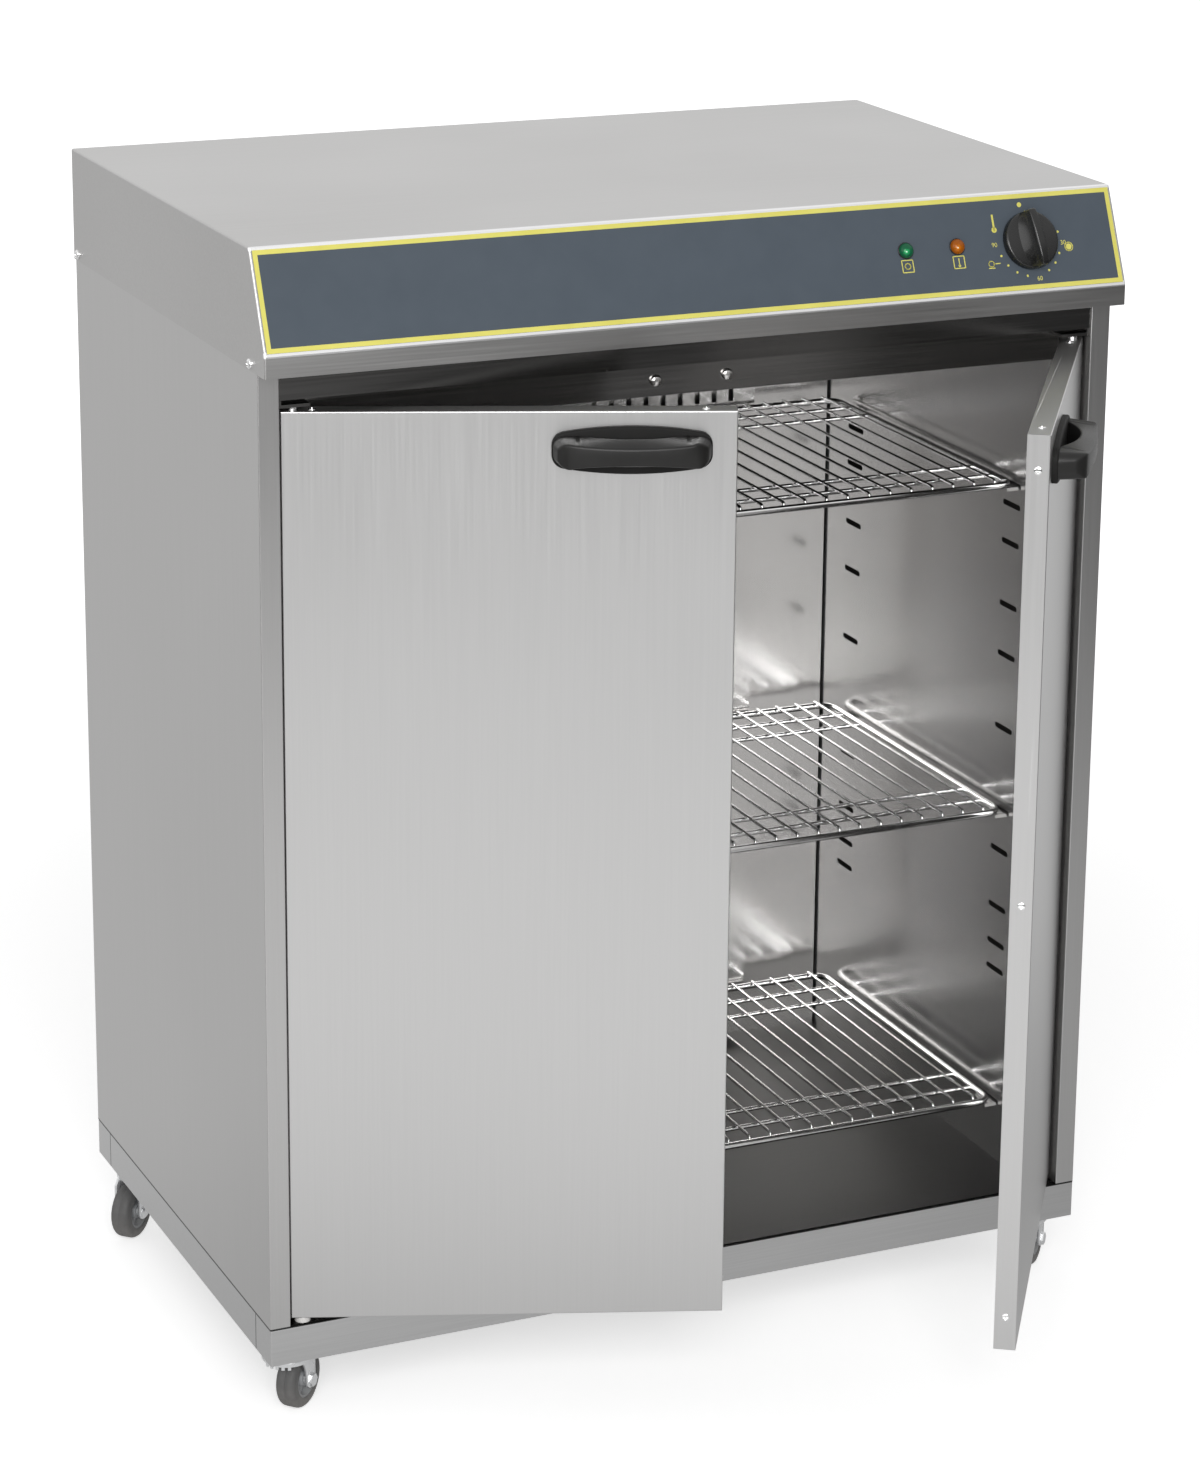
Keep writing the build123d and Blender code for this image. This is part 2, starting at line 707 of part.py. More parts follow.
def door_screws(side):
    """Screws that join a door's two pans along its edges."""
    return Compound([place * screw() for place in door_screw_places(side)])


def door_handle(side):
    """Bow handle: an arched base plate and a waisted grip bar that bridges a finger gap."""
    half = HANDLE_LENGTH / 2
    end = HANDLE_END_HEIGHT / 2
    crown = HANDLE_HEIGHT / 2
    grip_end = HANDLE_GRIP_END / 2
    waist = HANDLE_GRIP_WAIST / 2
    corner = min(HANDLE_CORNER, HANDLE_CORNER_LIMIT * grip_end)
    base = make_face(
        [
            ThreePointArc((-half, end), (0, crown), (half, end)),
            Line((half, end), (half, -end)),
            ThreePointArc((half, -end), (0, -crown), (-half, -end)),
            Line((-half, -end), (-half, end)),
        ]
    )
    base = fillet(base.vertices(), corner)
    inner = half - HANDLE_LEG
    tip = half - HANDLE_STEP
    grip = make_face(
        [
            ThreePointArc((-tip, -HANDLE_END_DEPTH), (0, -HANDLE_BOW), (tip, -HANDLE_END_DEPTH)),
            Line((tip, -HANDLE_END_DEPTH), (tip, -HANDLE_BASE)),
            Line((tip, -HANDLE_BASE), (inner, -HANDLE_BASE)),
            ThreePointArc(
                (inner, -HANDLE_BASE), (0, HANDLE_GRIP_DEPTH - HANDLE_BOW), (-inner, -HANDLE_BASE)
            ),
            Line((-inner, -HANDLE_BASE), (-tip, -HANDLE_BASE)),
            Line((-tip, -HANDLE_BASE), (-tip, -HANDLE_END_DEPTH)),
        ]
    )
    grip = fillet([v for v in grip.vertices() if v.Y < -HANDLE_BASE - SEAM], corner)
    face = make_face(
        [
            ThreePointArc((-half, grip_end), (0, waist), (half, grip_end)),
            Line((half, grip_end), (half, -grip_end)),
            ThreePointArc((half, -grip_end), (0, -waist), (-half, -grip_end)),
            Line((-half, -grip_end), (-half, grip_end)),
        ]
    )
    face = fillet(face.vertices(), corner)
    plate = extrude(Plane.XZ * base, HANDLE_BASE)
    bar = extrude(grip, HANDLE_HEIGHT, both=True) & extrude(Plane.XZ * face, 2 * HANDLE_BOW)
    x = side * (DOOR_FREE_X + HANDLE_EDGE_GAP + half)
    return Pos(x, FRONT, DOOR_TOP - HANDLE_DROP) * (plate + bar)


# Door pivots and catches on the cabinet


def pivot_brackets():
    """Angle brackets on the jambs above the doors, which hold the upper pins."""
    low = DOOR_TOP + BRACKET_GAP
    y0 = FRONT + HEADER_SETBACK + SHEET + SEAM
    y1 = y0 + BRACKET_DEPTH
    brackets = []
    for side in (LEFT, RIGHT):
        jamb = side * JAMB
        arm = block(jamb, jamb - side * BRACKET_REACH, y0, y1, low, low + BRACKET_SHEET)
        leg = block(jamb, jamb - side * BRACKET_SHEET, y0, y1, low, low + BRACKET_LEG)
        brackets.append(arm + leg)
    return Compound(brackets)


def pivot_pins():
    """Pins that the doors turn on: one down from each bracket and one up from the floor."""
    pins = []
    for side in (LEFT, RIGHT):
        x = side * PIVOT_X
        upper = Pos(x, PIVOT_Y, DOOR_TOP - PIN_REACH) * Cylinder(
            PIN_RADIUS, PIN_REACH + BRACKET_GAP, align=BASE
        )
        height = DOOR_BOTTOM + PIN_REACH - FLOOR_TOP
        lower = Pos(x, PIVOT_Y, FLOOR_TOP) * Cylinder(PIN_RADIUS, height, align=BASE)
        pins += [upper, lower]
    return Compound(pins)


def pivot_bushes():
    """Nylon collars round the lower pins that carry the doors' weight."""
    height = DOOR_BOTTOM - BUSH_CLEARANCE - FLOOR_TOP
    collar = Cylinder(BUSH_RADIUS, height, align=BASE)
    collar -= Cylinder(PIN_RADIUS + PIN_CLEARANCE, height, align=BASE)
    return Compound([Pos(side * PIVOT_X, PIVOT_Y, FLOOR_TOP) * collar for side in (LEFT, RIGHT)])


def catch_magnets():
    """Round magnets on the stop rail that hold the closed doors."""
    length = DOOR_STOP_GAP - CATCH_GAP
    y = STOP_FACE - length / 2
    z = CEILING + CATCH_RISE
    return Compound([rod("y", length, CATCH_RADIUS, side * CATCH_OFFSET, y, z) for side in (LEFT, RIGHT)])


def cap_screws():
    """Screws that fix the cap's side flanges to the side panels."""
    return Compound([place * screw() for side in (LEFT, RIGHT) for place in cap_screw_places(side)])


# Controls


def control_decal():
    """Printed film stuck on the sloping panel, cut out for the lamps and the spindle."""
    film = extrude(
        Rectangle(CAP_WIDTH - 2 * DECAL_MARGIN, FASCIA_LENGTH - 2 * DECAL_MARGIN), DECAL_THICKNESS
    )
    film = on_fascia(0, 0) * film
    cuts = [on_fascia(KNOB_X, 0) * Cylinder(SPINDLE_HOLE, 4 * DECAL_THICKNESS)]
    for x in (GREEN_X, ORANGE_X):
        cuts.append(on_fascia(x, 0) * Cylinder(LAMP_RADIUS + LAMP_CLEARANCE, 4 * DECAL_THICKNESS))
    return film - cuts


def control_knob():
    """Thermostat knob: a round skirt with a raised grip across it, bored for the spindle."""
    skirt = Cylinder(KNOB_RADIUS, KNOB_SKIRT, align=BASE)
    skirt = chamfer(skirt.edges().filter_by(GeomType.CIRCLE).sort_by(Axis.Z)[-1], KNOB_BEVEL)
    grip = Cylinder(KNOB_GRIP_RADIUS, KNOB_HEIGHT, align=BASE) & Box(
        KNOB_GRIP_WIDTH, 2 * KNOB_RADIUS, KNOB_HEIGHT, align=BASE
    )
    bore = Cylinder(SPINDLE_RADIUS + PIN_CLEARANCE, SPINDLE_IN_KNOB + BORE_END_GAP, align=BASE)
    return on_fascia(KNOB_X, DECAL_THICKNESS + KNOB_GAP) * (skirt + grip - bore)


def knob_spindle():
    """Spindle from the thermostat through the panel into the knob."""
    low = -CAP_SHEET - SPINDLE_IN_BODY
    high = DECAL_THICKNESS + KNOB_GAP + SPINDLE_IN_KNOB
    return on_fascia(KNOB_X, low) * Cylinder(SPINDLE_RADIUS, high - low, align=BASE)


def thermostat_body():
    """Thermostat fixed behind the panel, bored for its spindle."""
    case = Box(THERMOSTAT_SIZE, THERMOSTAT_SIZE, THERMOSTAT_DEPTH, align=BASE)
    case = fillet(case.edges().filter_by(Axis.Z), FOLD_RADIUS)
    case = on_fascia(KNOB_X, -CAP_SHEET - THERMOSTAT_DEPTH) * case
    depth = SPINDLE_IN_BODY + BORE_END_GAP
    bore = Cylinder(SPINDLE_RADIUS + PIN_CLEARANCE, depth, align=BASE)
    return case - on_fascia(KNOB_X, -CAP_SHEET - depth) * bore


def pilot_lamp(x):
    """Signal lamp: a barrel through the panel, a collar on the film and a domed lens."""
    rim = DECAL_THICKNESS + LAMP_COLLAR_HEIGHT
    crown = rim + LAMP_DOME
    radius = (LAMP_LENS**2 + LAMP_DOME**2) / (2 * LAMP_DOME)
    half_way = math.atan2(LAMP_LENS, radius - LAMP_DOME) / 2
    shoulder = (radius * math.sin(half_way), crown - radius + radius * math.cos(half_way))
    outline = make_face(
        [
            Polyline(
                (0, crown),
                (0, -LAMP_LENGTH),
                (LAMP_RADIUS, -LAMP_LENGTH),
                (LAMP_RADIUS, DECAL_THICKNESS),
                (LAMP_COLLAR, DECAL_THICKNESS),
                (LAMP_COLLAR, rim),
                (LAMP_LENS, rim),
            ),
            ThreePointArc((LAMP_LENS, rim), shoulder, (0, crown)),
        ]
    )
    return on_fascia(x, 0) * revolve(Plane.XZ * outline, Axis.Z)


# Mains connection


def terminal_block():
    """Terminal block on the back panel inside the cap, with a row of wire ways."""
    back = BACK - SHEET
    low = CAP_BOTTOM - TERMINAL_DROP
    body = block(
        TERMINAL_X, TERMINAL_X + TERMINAL_LENGTH, back - TERMINAL_DEPTH, back, low, low + TERMINAL_HEIGHT
    )
    pitch = TERMINAL_LENGTH / TERMINAL_WAYS
    ways = [
        rod(
            "y",
            2 * TERMINAL_WAY_DEPTH,
            TERMINAL_WAY_RADIUS,
            TERMINAL_X + (i + 0.5) * pitch,
            back - TERMINAL_DEPTH,
            low + TERMINAL_HEIGHT / 2,
        )
        for i in range(TERMINAL_WAYS)
    ]
    return body - ways


def cable_gland():
    """Cable gland in the back panel: flange, dome nut, thread through the sheet and lock nut."""
    flange = Cylinder(GLAND_RADIUS, GLAND_FLANGE, align=BASE)
    nut = Pos(0, 0, GLAND_FLANGE) * Cylinder(GLAND_NUT_RADIUS, GLAND_NUT, align=BASE)
    nut = fillet(nut.edges().filter_by(GeomType.CIRCLE).sort_by(Axis.Z)[-1], GLAND_NUT_ROUND)
    thread = Pos(0, 0, -SHEET) * Cylinder(GLAND_THREAD, SHEET, align=BASE)
    lock = Pos(0, 0, -SHEET - GLAND_TAIL) * Cylinder(GLAND_RADIUS, GLAND_TAIL, align=BASE)
    bore = Cylinder(GLAND_BORE, 4 * (GLAND_FLANGE + GLAND_NUT))
    body = flange + nut + thread + lock - bore
    return Pos(GLAND_X, BACK, CAP_BOTTOM - GLAND_DROP) * Rot(-90, 0, 0) * body


# Castors, modelled about their swivel axis with the wheel trailing along +X


def castor_place(corner):
    """Where a castor's swivel axis stands, on the floor."""
    x = HALF_BODY - CASTOR_SIDE_INSET
    y = -FRONT - CASTOR_END_INSET
    return Pos(x if "right" in corner else -x, -y if "front" in corner else y, 0)


def castor_turn(corner):
    """A castor's place and the way its wheel is turned."""
    return castor_place(corner) * Rot(0, 0, CASTOR_YAWS[corner])


def crown_top():
    """Top of the fork's crown, just under the ball race."""
    return CASTOR_HEIGHT - CASTOR_PLATE_THICKNESS - CASTOR_RING - CASTOR_RACE_GAP


def castor_plate():
    """Top plate of a castor with its race and the headed kingpin that carries the fork."""
    plate_low = CASTOR_HEIGHT - CASTOR_PLATE_THICKNESS
    plate = Pos(0, 0, plate_low) * Box(CASTOR_PLATE, CASTOR_PLATE, CASTOR_PLATE_THICKNESS, align=BASE)
    race = Pos(0, 0, plate_low - CASTOR_RING) * Cylinder(CASTOR_RING_RADIUS, CASTOR_RING, align=BASE)
    head_top = crown_top() - FORK_SHEET - KINGPIN_PLAY
    pin = Pos(0, 0, head_top) * Cylinder(KINGPIN_RADIUS, plate_low - head_top, align=BASE)
    head = Pos(0, 0, head_top - KINGPIN_HEAD) * Cylinder(KINGPIN_HEAD_RADIUS, KINGPIN_HEAD, align=BASE)
    return plate + race + pin + head


def castor_fork():
    """Fork of a castor: a round crown and two tapered legs, with the headed axle between them."""
    top = crown_top()
    crown = Pos(0, 0, top - FORK_SHEET) * Cylinder(FORK_CROWN_RADIUS, FORK_SHEET, align=BASE)
    crown -= Cylinder(KINGPIN_RADIUS + PIN_CLEARANCE, 4 * CASTOR_HEIGHT)
    inner = WHEEL_WIDTH / 2 + FORK_WHEEL_GAP
    reach = math.sqrt(FORK_CROWN_RADIUS**2 - (inner + FORK_SHEET) ** 2)
    foot = CASTOR_TRAIL
    outline = make_face(
        Polyline(
            (-reach, top),
            (reach, top),
            (foot + FORK_FOOT_RADIUS, WHEEL_RADIUS),
            (foot - FORK_FOOT_RADIUS, WHEEL_RADIUS),
            close=True,
        )
    )
    outline += Pos(foot, WHEEL_RADIUS) * Circle(FORK_FOOT_RADIUS)
    outline -= Pos(foot, WHEEL_RADIUS) * Circle(AXLE_RADIUS + PIN_CLEARANCE)
    leg = extrude(Plane.XZ * outline, FORK_SHEET)
    fork = crown + Pos(0, -inner, 0) * leg + Pos(0, inner + FORK_SHEET, 0) * leg
    half = inner + FORK_SHEET
    axle = rod("y", 2 * half, AXLE_RADIUS, foot, 0, WHEEL_RADIUS)
    for side in (LEFT, RIGHT):
        y = side * (half + AXLE_HEAD / 2)
        axle += rod("y", AXLE_HEAD, AXLE_HEAD_RADIUS, foot, y, WHEEL_RADIUS)
    return fork, axle


def castor_core():
    """Plastic wheel core of a castor, dished on both faces and bored for the axle."""
    radius = WHEEL_RADIUS - TYRE_DEPTH
    core = Cylinder(radius, CORE_WIDTH)
    dish = Cylinder(radius - CORE_RIM, CORE_RECESS) - Cylinder(HUB_RADIUS, CORE_RECESS)
    offset_to_face = (CORE_WIDTH - CORE_RECESS) / 2
    core -= [Pos(0, 0, side * offset_to_face) * dish for side in (LEFT, RIGHT)]
    core -= Cylinder(AXLE_RADIUS + PIN_CLEARANCE, 2 * CORE_WIDTH)
    return Pos(CASTOR_TRAIL, 0, WHEEL_RADIUS) * Rot(90, 0, 0) * core


def castor_tyre():
    """Rubber tyre of a castor, with rounded shoulders."""
    ring = Cylinder(WHEEL_RADIUS, WHEEL_WIDTH)
    ring = fillet(ring.edges().filter_by(GeomType.CIRCLE), TYRE_ROUND)
    ring -= Cylinder(WHEEL_RADIUS - TYRE_DEPTH, 2 * WHEEL_WIDTH)
    return Pos(CASTOR_TRAIL, 0, WHEEL_RADIUS) * Rot(90, 0, 0) * ring


# The whole cupboard, one entry for each separate piece

NODES = {
    "plinth_front_rail": plinth_end_rail(FRONT, 1),
    "plinth_rear_rail": plinth_end_rail(BACK, -1),
    "plinth_side_rails": Compound([plinth_side_rail(side) for side in (LEFT, RIGHT)]),
    "cavity_floor": cavity_floor(),
    "left_side_panel": side_panel(LEFT),
    "right_side_panel": side_panel(RIGHT),
    "rear_panel": rear_panel(),
    "top_cap": top_cap(),
    "header_strip": header_strip(),
    "door_stop_rail": door_stop_rail(),
    "inner_left_wall": inner_wall(LEFT),
    "inner_right_wall": inner_wall(RIGHT),
    "inner_back_wall": inner_back_wall(),
    "inner_ceiling": inner_ceiling(),
    "rear_duct_cover": rear_duct_cover(),
    "insulation_slabs": insulation_slabs(),
    "heating_element": heating_element(),
    "heater_clips": heater_clips(),
    "shelf_clips": shelf_clips(),
    "pivot_brackets": pivot_brackets(),
    "pivot_pins": pivot_pins(),
    "pivot_bushes": pivot_bushes(),
    "catch_magnets": catch_magnets(),
    "cap_screws": cap_screws(),
    "control_decal": control_decal(),
    "control_knob": control_knob(),
    "knob_spindle": knob_spindle(),
    "thermostat_body": thermostat_body(),
    "green_pilot_lamp": pilot_lamp(GREEN_X),
    "orange_pilot_lamp": pilot_lamp(ORANGE_X),
    "terminal_block": terminal_block(),
    "cable_gland": cable_gland(),
    "castor_plates": Compound([castor_place(corner) * castor_plate() for corner in CASTOR_YAWS]),
}

SHELF = wire_shelf()
for name, level in SHELF_LEVELS.items():
    NODES[f"{name}_wire_shelf"] = Pos(0, 0, FLOOR_TOP + level) * SHELF

for name, side, angle in (("left", LEFT, LEFT_DOOR_ANGLE), ("right", RIGHT, RIGHT_DOOR_ANGLE)):
    for piece, make in (
        ("skin", door_skin),
        ("liner", door_liner),
        ("insulation", door_insulation),
        ("pivot_blocks", door_pivot_blocks),
        ("screws", door_screws),
        ("handle", door_handle),
    ):
        NODES[f"{name}_door_{piece}"] = swing(side, angle, make(side))

for corner in CASTOR_YAWS:
    turn = castor_turn(corner)
    NODES[f"{corner}_castor_fork"] = Compound([turn * piece for piece in castor_fork()])
    NODES[f"{corner}_castor_core"] = turn * castor_core()
    NODES[f"{corner}_castor_tyre"] = turn * castor_tyre()

for name, shape in NODES.items():
    export_step(shape, f"parts/{name}.step")
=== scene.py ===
"""Looks of a heated plate cupboard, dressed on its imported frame.

Lengths are metres, Z is up and the front faces -Y, as in the frame. Each sub-assembly is a class that
makes its own pieces and dresses the nodes that belong to it.
"""

import json
import logging
import math
from dataclasses import dataclass, replace
from enum import Enum
from functools import cache

import bmesh
import bpy
from mathutils import Matrix, Vector

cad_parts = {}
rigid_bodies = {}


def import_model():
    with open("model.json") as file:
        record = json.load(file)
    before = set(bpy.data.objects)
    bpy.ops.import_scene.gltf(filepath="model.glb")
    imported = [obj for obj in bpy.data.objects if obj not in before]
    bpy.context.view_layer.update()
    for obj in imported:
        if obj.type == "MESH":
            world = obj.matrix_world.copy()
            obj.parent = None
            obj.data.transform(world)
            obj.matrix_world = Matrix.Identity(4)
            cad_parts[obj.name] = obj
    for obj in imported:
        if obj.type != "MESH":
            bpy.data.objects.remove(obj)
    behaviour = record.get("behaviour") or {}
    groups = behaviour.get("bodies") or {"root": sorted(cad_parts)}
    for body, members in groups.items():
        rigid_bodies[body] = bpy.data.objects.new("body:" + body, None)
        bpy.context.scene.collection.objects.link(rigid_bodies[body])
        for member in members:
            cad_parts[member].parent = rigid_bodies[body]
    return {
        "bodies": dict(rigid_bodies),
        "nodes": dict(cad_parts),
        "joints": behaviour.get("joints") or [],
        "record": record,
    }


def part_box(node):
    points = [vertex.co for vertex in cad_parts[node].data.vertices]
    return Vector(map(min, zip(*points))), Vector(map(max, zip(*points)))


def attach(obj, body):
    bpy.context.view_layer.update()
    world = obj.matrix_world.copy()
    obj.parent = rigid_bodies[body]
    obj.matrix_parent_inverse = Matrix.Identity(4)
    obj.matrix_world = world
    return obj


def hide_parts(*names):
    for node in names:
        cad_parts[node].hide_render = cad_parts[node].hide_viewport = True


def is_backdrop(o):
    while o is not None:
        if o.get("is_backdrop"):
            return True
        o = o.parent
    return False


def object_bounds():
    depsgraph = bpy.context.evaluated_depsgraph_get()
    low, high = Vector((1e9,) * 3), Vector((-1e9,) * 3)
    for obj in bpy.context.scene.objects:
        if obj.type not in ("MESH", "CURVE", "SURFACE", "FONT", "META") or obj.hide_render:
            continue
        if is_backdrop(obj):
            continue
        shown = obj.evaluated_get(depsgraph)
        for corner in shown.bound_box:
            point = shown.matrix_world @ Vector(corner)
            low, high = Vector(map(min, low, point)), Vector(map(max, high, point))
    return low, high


LOG = logging.getLogger("plate_cupboard")
IMAGE_WIDTH = 1200
IMAGE_HEIGHT = 1468
NEAR = 1e-5
WELD_REACH = 1e-6
QUARTER = math.pi / 2
IN_PLACE = Matrix.Identity(4)

Colour = tuple[float, float, float, float]
Point = tuple[float, float, float]
Flat = tuple[float, float]
Names = tuple[str, ...]
Feed = bpy.types.NodeSocket | float | tuple
Socket = bpy.types.NodeSocket
Verts = list[bmesh.types.BMVert]
Edges = list[bmesh.types.BMEdge]


def grey(level: float, warmth: float = 0.0) -> Colour:
    """A grey of one linear level, tinted warm above zero and cool below it."""
    return (level * (1 + warmth), level, level * (1 - warmth), 1.0)


class Grain(Enum):
    """Which way a sheet was brushed, as the noise stretch for each axis, per metre."""

    UPRIGHT = (620.0, 620.0, 7.0)
    ACROSS = (7.0, 620.0, 620.0)


class Side(Enum):
    """The two sides of the cupboard, as signs along X."""

    LEFT = -1
    RIGHT = 1

    @property
    def label(self) -> str:
        """The side's name as it stands in node names."""
        return self.name.lower()


class Level(Enum):
    """The three shelves, by their names in the frame."""

    LOWER = "lower"
    MIDDLE = "middle"
    UPPER = "upper"


class Corner(Enum):
    """The four castors, by their names in the frame."""

    FRONT_LEFT = "front_left"
    FRONT_RIGHT = "front_right"
    REAR_LEFT = "rear_left"
    REAR_RIGHT = "rear_right"


class Graph:
    """A node tree with short calls that add, set and join nodes."""

    def __init__(self, tree: bpy.types.NodeTree) -> None:
        """Takes the tree that the nodes go into."""
        self.tree = tree

    def add(self, kind: str, inputs: dict | None = None, **settings: object) -> bpy.types.Node:
        """Adds one node.

        Args:
            kind: the node's type name.
            inputs: values or sockets by input name or index.
            settings: the node's own properties.

        Returns:
            The new node.
        """
        node = self.tree.nodes.new(kind)
        for name, value in settings.items():
            setattr(node, name, value)
        self.join(node, inputs or {})
        return node

    def join(self, node: bpy.types.Node, inputs: dict) -> None:
        """Links a node's inputs to other sockets, or sets their values.

        Args:
            node: the node that is fed.
            inputs: values or sockets by input name or index.
        """
        for name, value in inputs.items():
            if isinstance(value, bpy.types.NodeSocket):
                self.tree.links.new(value, node.inputs[name])
            else:
                node.inputs[name].default_value = value

    def calc(self, operation: str, *terms: Feed, use_clamp: bool = False) -> Socket:
        """The result of one math node on numbers or sockets, held between 0 and 1 where asked."""
        inputs = dict(enumerate(terms))
        return self.add("ShaderNodeMath", inputs, operation=operation, use_clamp=use_clamp).outputs[0]

    def vector(self, operation: str, *terms: Feed) -> bpy.types.bpy_prop_collection:
        """The outputs of one vector math node, named Vector and Value."""
        return self.add("ShaderNodeVectorMath", dict(enumerate(terms)), operation=operation).outputs

    def axes(self, source: Feed) -> bpy.types.bpy_prop_collection:
        """The three axes of a vector, named X, Y and Z."""
        return self.add("ShaderNodeSeparateXYZ", {0: source}).outputs

    def remap(self, source: Feed, low: float, high: float, to_low: float, to_high: float) -> Socket:
        """A value mapped smoothly from one range to another and held inside it."""
        spans = {"Value": source, "From Min": low, "From Max": high, "To Min": to_low, "To Max": to_high}
        return self.add("ShaderNodeMapRange", spans, interpolation_type="SMOOTHSTEP").outputs[0]

    def ramp(self, factor: Feed, low: Colour, high: Colour, start: float = 0.3, end: float = 0.7) -> Socket:
        """A colour that runs between two colours over part of a factor's range.

        Args:
            factor: the value that picks the colour.
            low: the colour up to the start.
            high: the colour from the end on.
            start: where the run begins.
            end: where it ends.

        Returns:
            The colour.
        """
        node = self.add("ShaderNodeValToRGB", {0: factor})
        first, last = node.color_ramp.elements
        first.position, last.position = start, end
        first.color, last.color = low, high
        return node.outputs[0]

    def mix(self, factor: Feed, first: Feed, second: Feed) -> Socket:
        """Two colours mixed by a factor."""
        inputs = {0: factor, 6: first, 7: second}
        return self.add("ShaderNodeMix", inputs, data_type="RGBA").outputs[2]

    def place(self) -> Socket:
        """The object's own coordinates."""
        return self.add("ShaderNodeTexCoord").outputs["Object"]

    def noise(self, vector: Feed, scale: Feed, detail: float, roughness: float) -> Socket:
        """A noise value around 0.5."""
        inputs = {"Vector": vector, "Scale": scale, "Detail": detail, "Roughness": roughness}
        return self.add("ShaderNodeTexNoise", inputs).outputs[0]

    def bump(self, height: Feed, strength: float, distance: float = 0.0002) -> Socket:
        """A normal bent by a height, with the relief's depth in metres."""
        inputs = {"Height": height, "Strength": strength, "Distance": distance}
        return self.add("ShaderNodeBump", inputs).outputs[0]

    def effect(self, group: bpy.types.NodeTree, inputs: dict) -> bpy.types.bpy_prop_collection:
        """Places a shared effect with its own values and gives its outputs."""
        return self.add("ShaderNodeGroup", inputs, node_tree=group).outputs

    def shader(self, kind: str, **inputs: Feed) -> Socket:
        """The output of one shader node."""
        return self.add(kind, inputs).outputs[0]

    def either(self, factor: Feed, first: Socket, second: Socket) -> Socket:
        """The first shader where a factor is 0 and the second where it is 1."""
        return self.add("ShaderNodeMixShader", {0: factor, 1: first, 2: second}).outputs[0]


class Effects:
    """Surface effects that several finishes share, each a node group built once."""

    @staticmethod
    def _open(name: str, inputs: Names, outputs: Names, points: Names = ()) -> tuple:
        """Makes an empty group with its sockets.

        Args:
            name: the group's name.
            inputs: names of the numbers that it takes.
            outputs: names of the values that it puts out.
            points: names of the vectors that it takes.

        Returns:
            The group, its graph, the sockets of its input node and its output node.
        """
        group = bpy.data.node_groups.new(name, "ShaderNodeTree")
        sockets = (
            ("INPUT", "NodeSocketVector", points),
            ("INPUT", "NodeSocketFloat", inputs),
            ("OUTPUT", "NodeSocketFloat", outputs),
        )
        for way, kind, labels in sockets:
            for label in labels:
                group.interface.new_socket(label, in_out=way, socket_type=kind)
        graph = Graph(group)
        return group, graph, graph.add("NodeGroupInput").outputs, graph.add("NodeGroupOutput")

    @staticmethod
    @cache
    def brushed_grain() -> bpy.types.NodeTree:
        """Fine streaks along a sheet's grain, and broad patches where it was rolled and handled.

        Returns:
            The node group.
        """
        group, graph, given, sink = Effects._open(
            "brushed_grain", ("Patch Scale",), ("Streak", "Patch"), points=("Stretch",)
        )
        place = graph.place()
        drawn = graph.vector("MULTIPLY", place, given["Stretch"])["Vector"]
        streak = graph.noise(drawn, 1.0, detail=3.0, roughness=0.6)
        patch = graph.noise(place, given["Patch Scale"], detail=2.0, roughness=0.5)
        graph.join(sink, {"Streak": streak, "Patch": patch})
        return group

    @staticmethod
    @cache
    def moulded_skin() -> bpy.types.NodeTree:
        """The fine skin of moulded plastic or rubber, and a slow drift of its tone.

        Returns:
            The node group.
        """
        group, graph, given, sink = Effects._open(
            "moulded_skin", ("Skin Scale", "Drift Scale"), ("Skin", "Drift")
        )
        place = graph.place()
        for label in ("Skin", "Drift"):
            graph.join(sink, {label: graph.noise(place, given[f"{label} Scale"], detail=2.0, roughness=0.5)})
        return group

    @staticmethod
    @cache
    def floor_dust() -> bpy.types.NodeTree:
        """Dust that gathers near the floor and thins out over a reach upwards.

        Returns:
            The node group.
        """
        group, graph, given, sink = Effects._open("floor_dust", ("Reach", "Speck Scale"), ("Dust",))
        place = graph.place()
        share = graph.calc("DIVIDE", graph.axes(place)["Z"], given["Reach"])
        low = graph.calc("SUBTRACT", 1.0, share, use_clamp=True)
        speck = graph.noise(place, given["Speck Scale"], detail=4.0, roughness=0.6)
        graph.join(sink, {"Dust": graph.calc("MULTIPLY", low, speck)})
        return group

    @staticmethod
    @cache
    def fold_shine() -> bpy.types.NodeTree:
        """A painted highlight along a fold that runs along X: 1 on the fold and 0 beyond its width.

        Returns:
            The node group.
        """
        group, graph, given, sink = Effects._open("fold_shine", ("Width",), ("Shine",), points=("Fold",))
        flat = graph.vector("MULTIPLY", graph.place(), (0.0, 1.0, 1.0))["Vector"]
        away = graph.vector("DISTANCE", flat, given["Fold"])["Value"]
        graph.join(sink, {"Shine": graph.calc("LESS_THAN", away, given["Width"])})
        return group

    @staticmethod
    @cache
    def seam_shade() -> bpy.types.NodeTree:
        """The dark line where two sheets meet, at one height and at one distance to the front and back.

        Returns:
            The node group.
        """
        group, graph, given, sink = Effects._open("seam_shade", ("Level", "Wrap", "Width"), ("Shade",))
        axes = graph.axes(graph.place())
        lines = []
        for along, label in ((axes["Z"], "Level"), (graph.calc("ABSOLUTE", axes["Y"]), "Wrap")):
            away = graph.calc("ABSOLUTE", graph.calc("SUBTRACT", along, given[label]))
            lines.append(graph.calc("LESS_THAN", away, given["Width"]))
        graph.join(sink, {"Shade": graph.calc("MAXIMUM", *lines)})
        return group


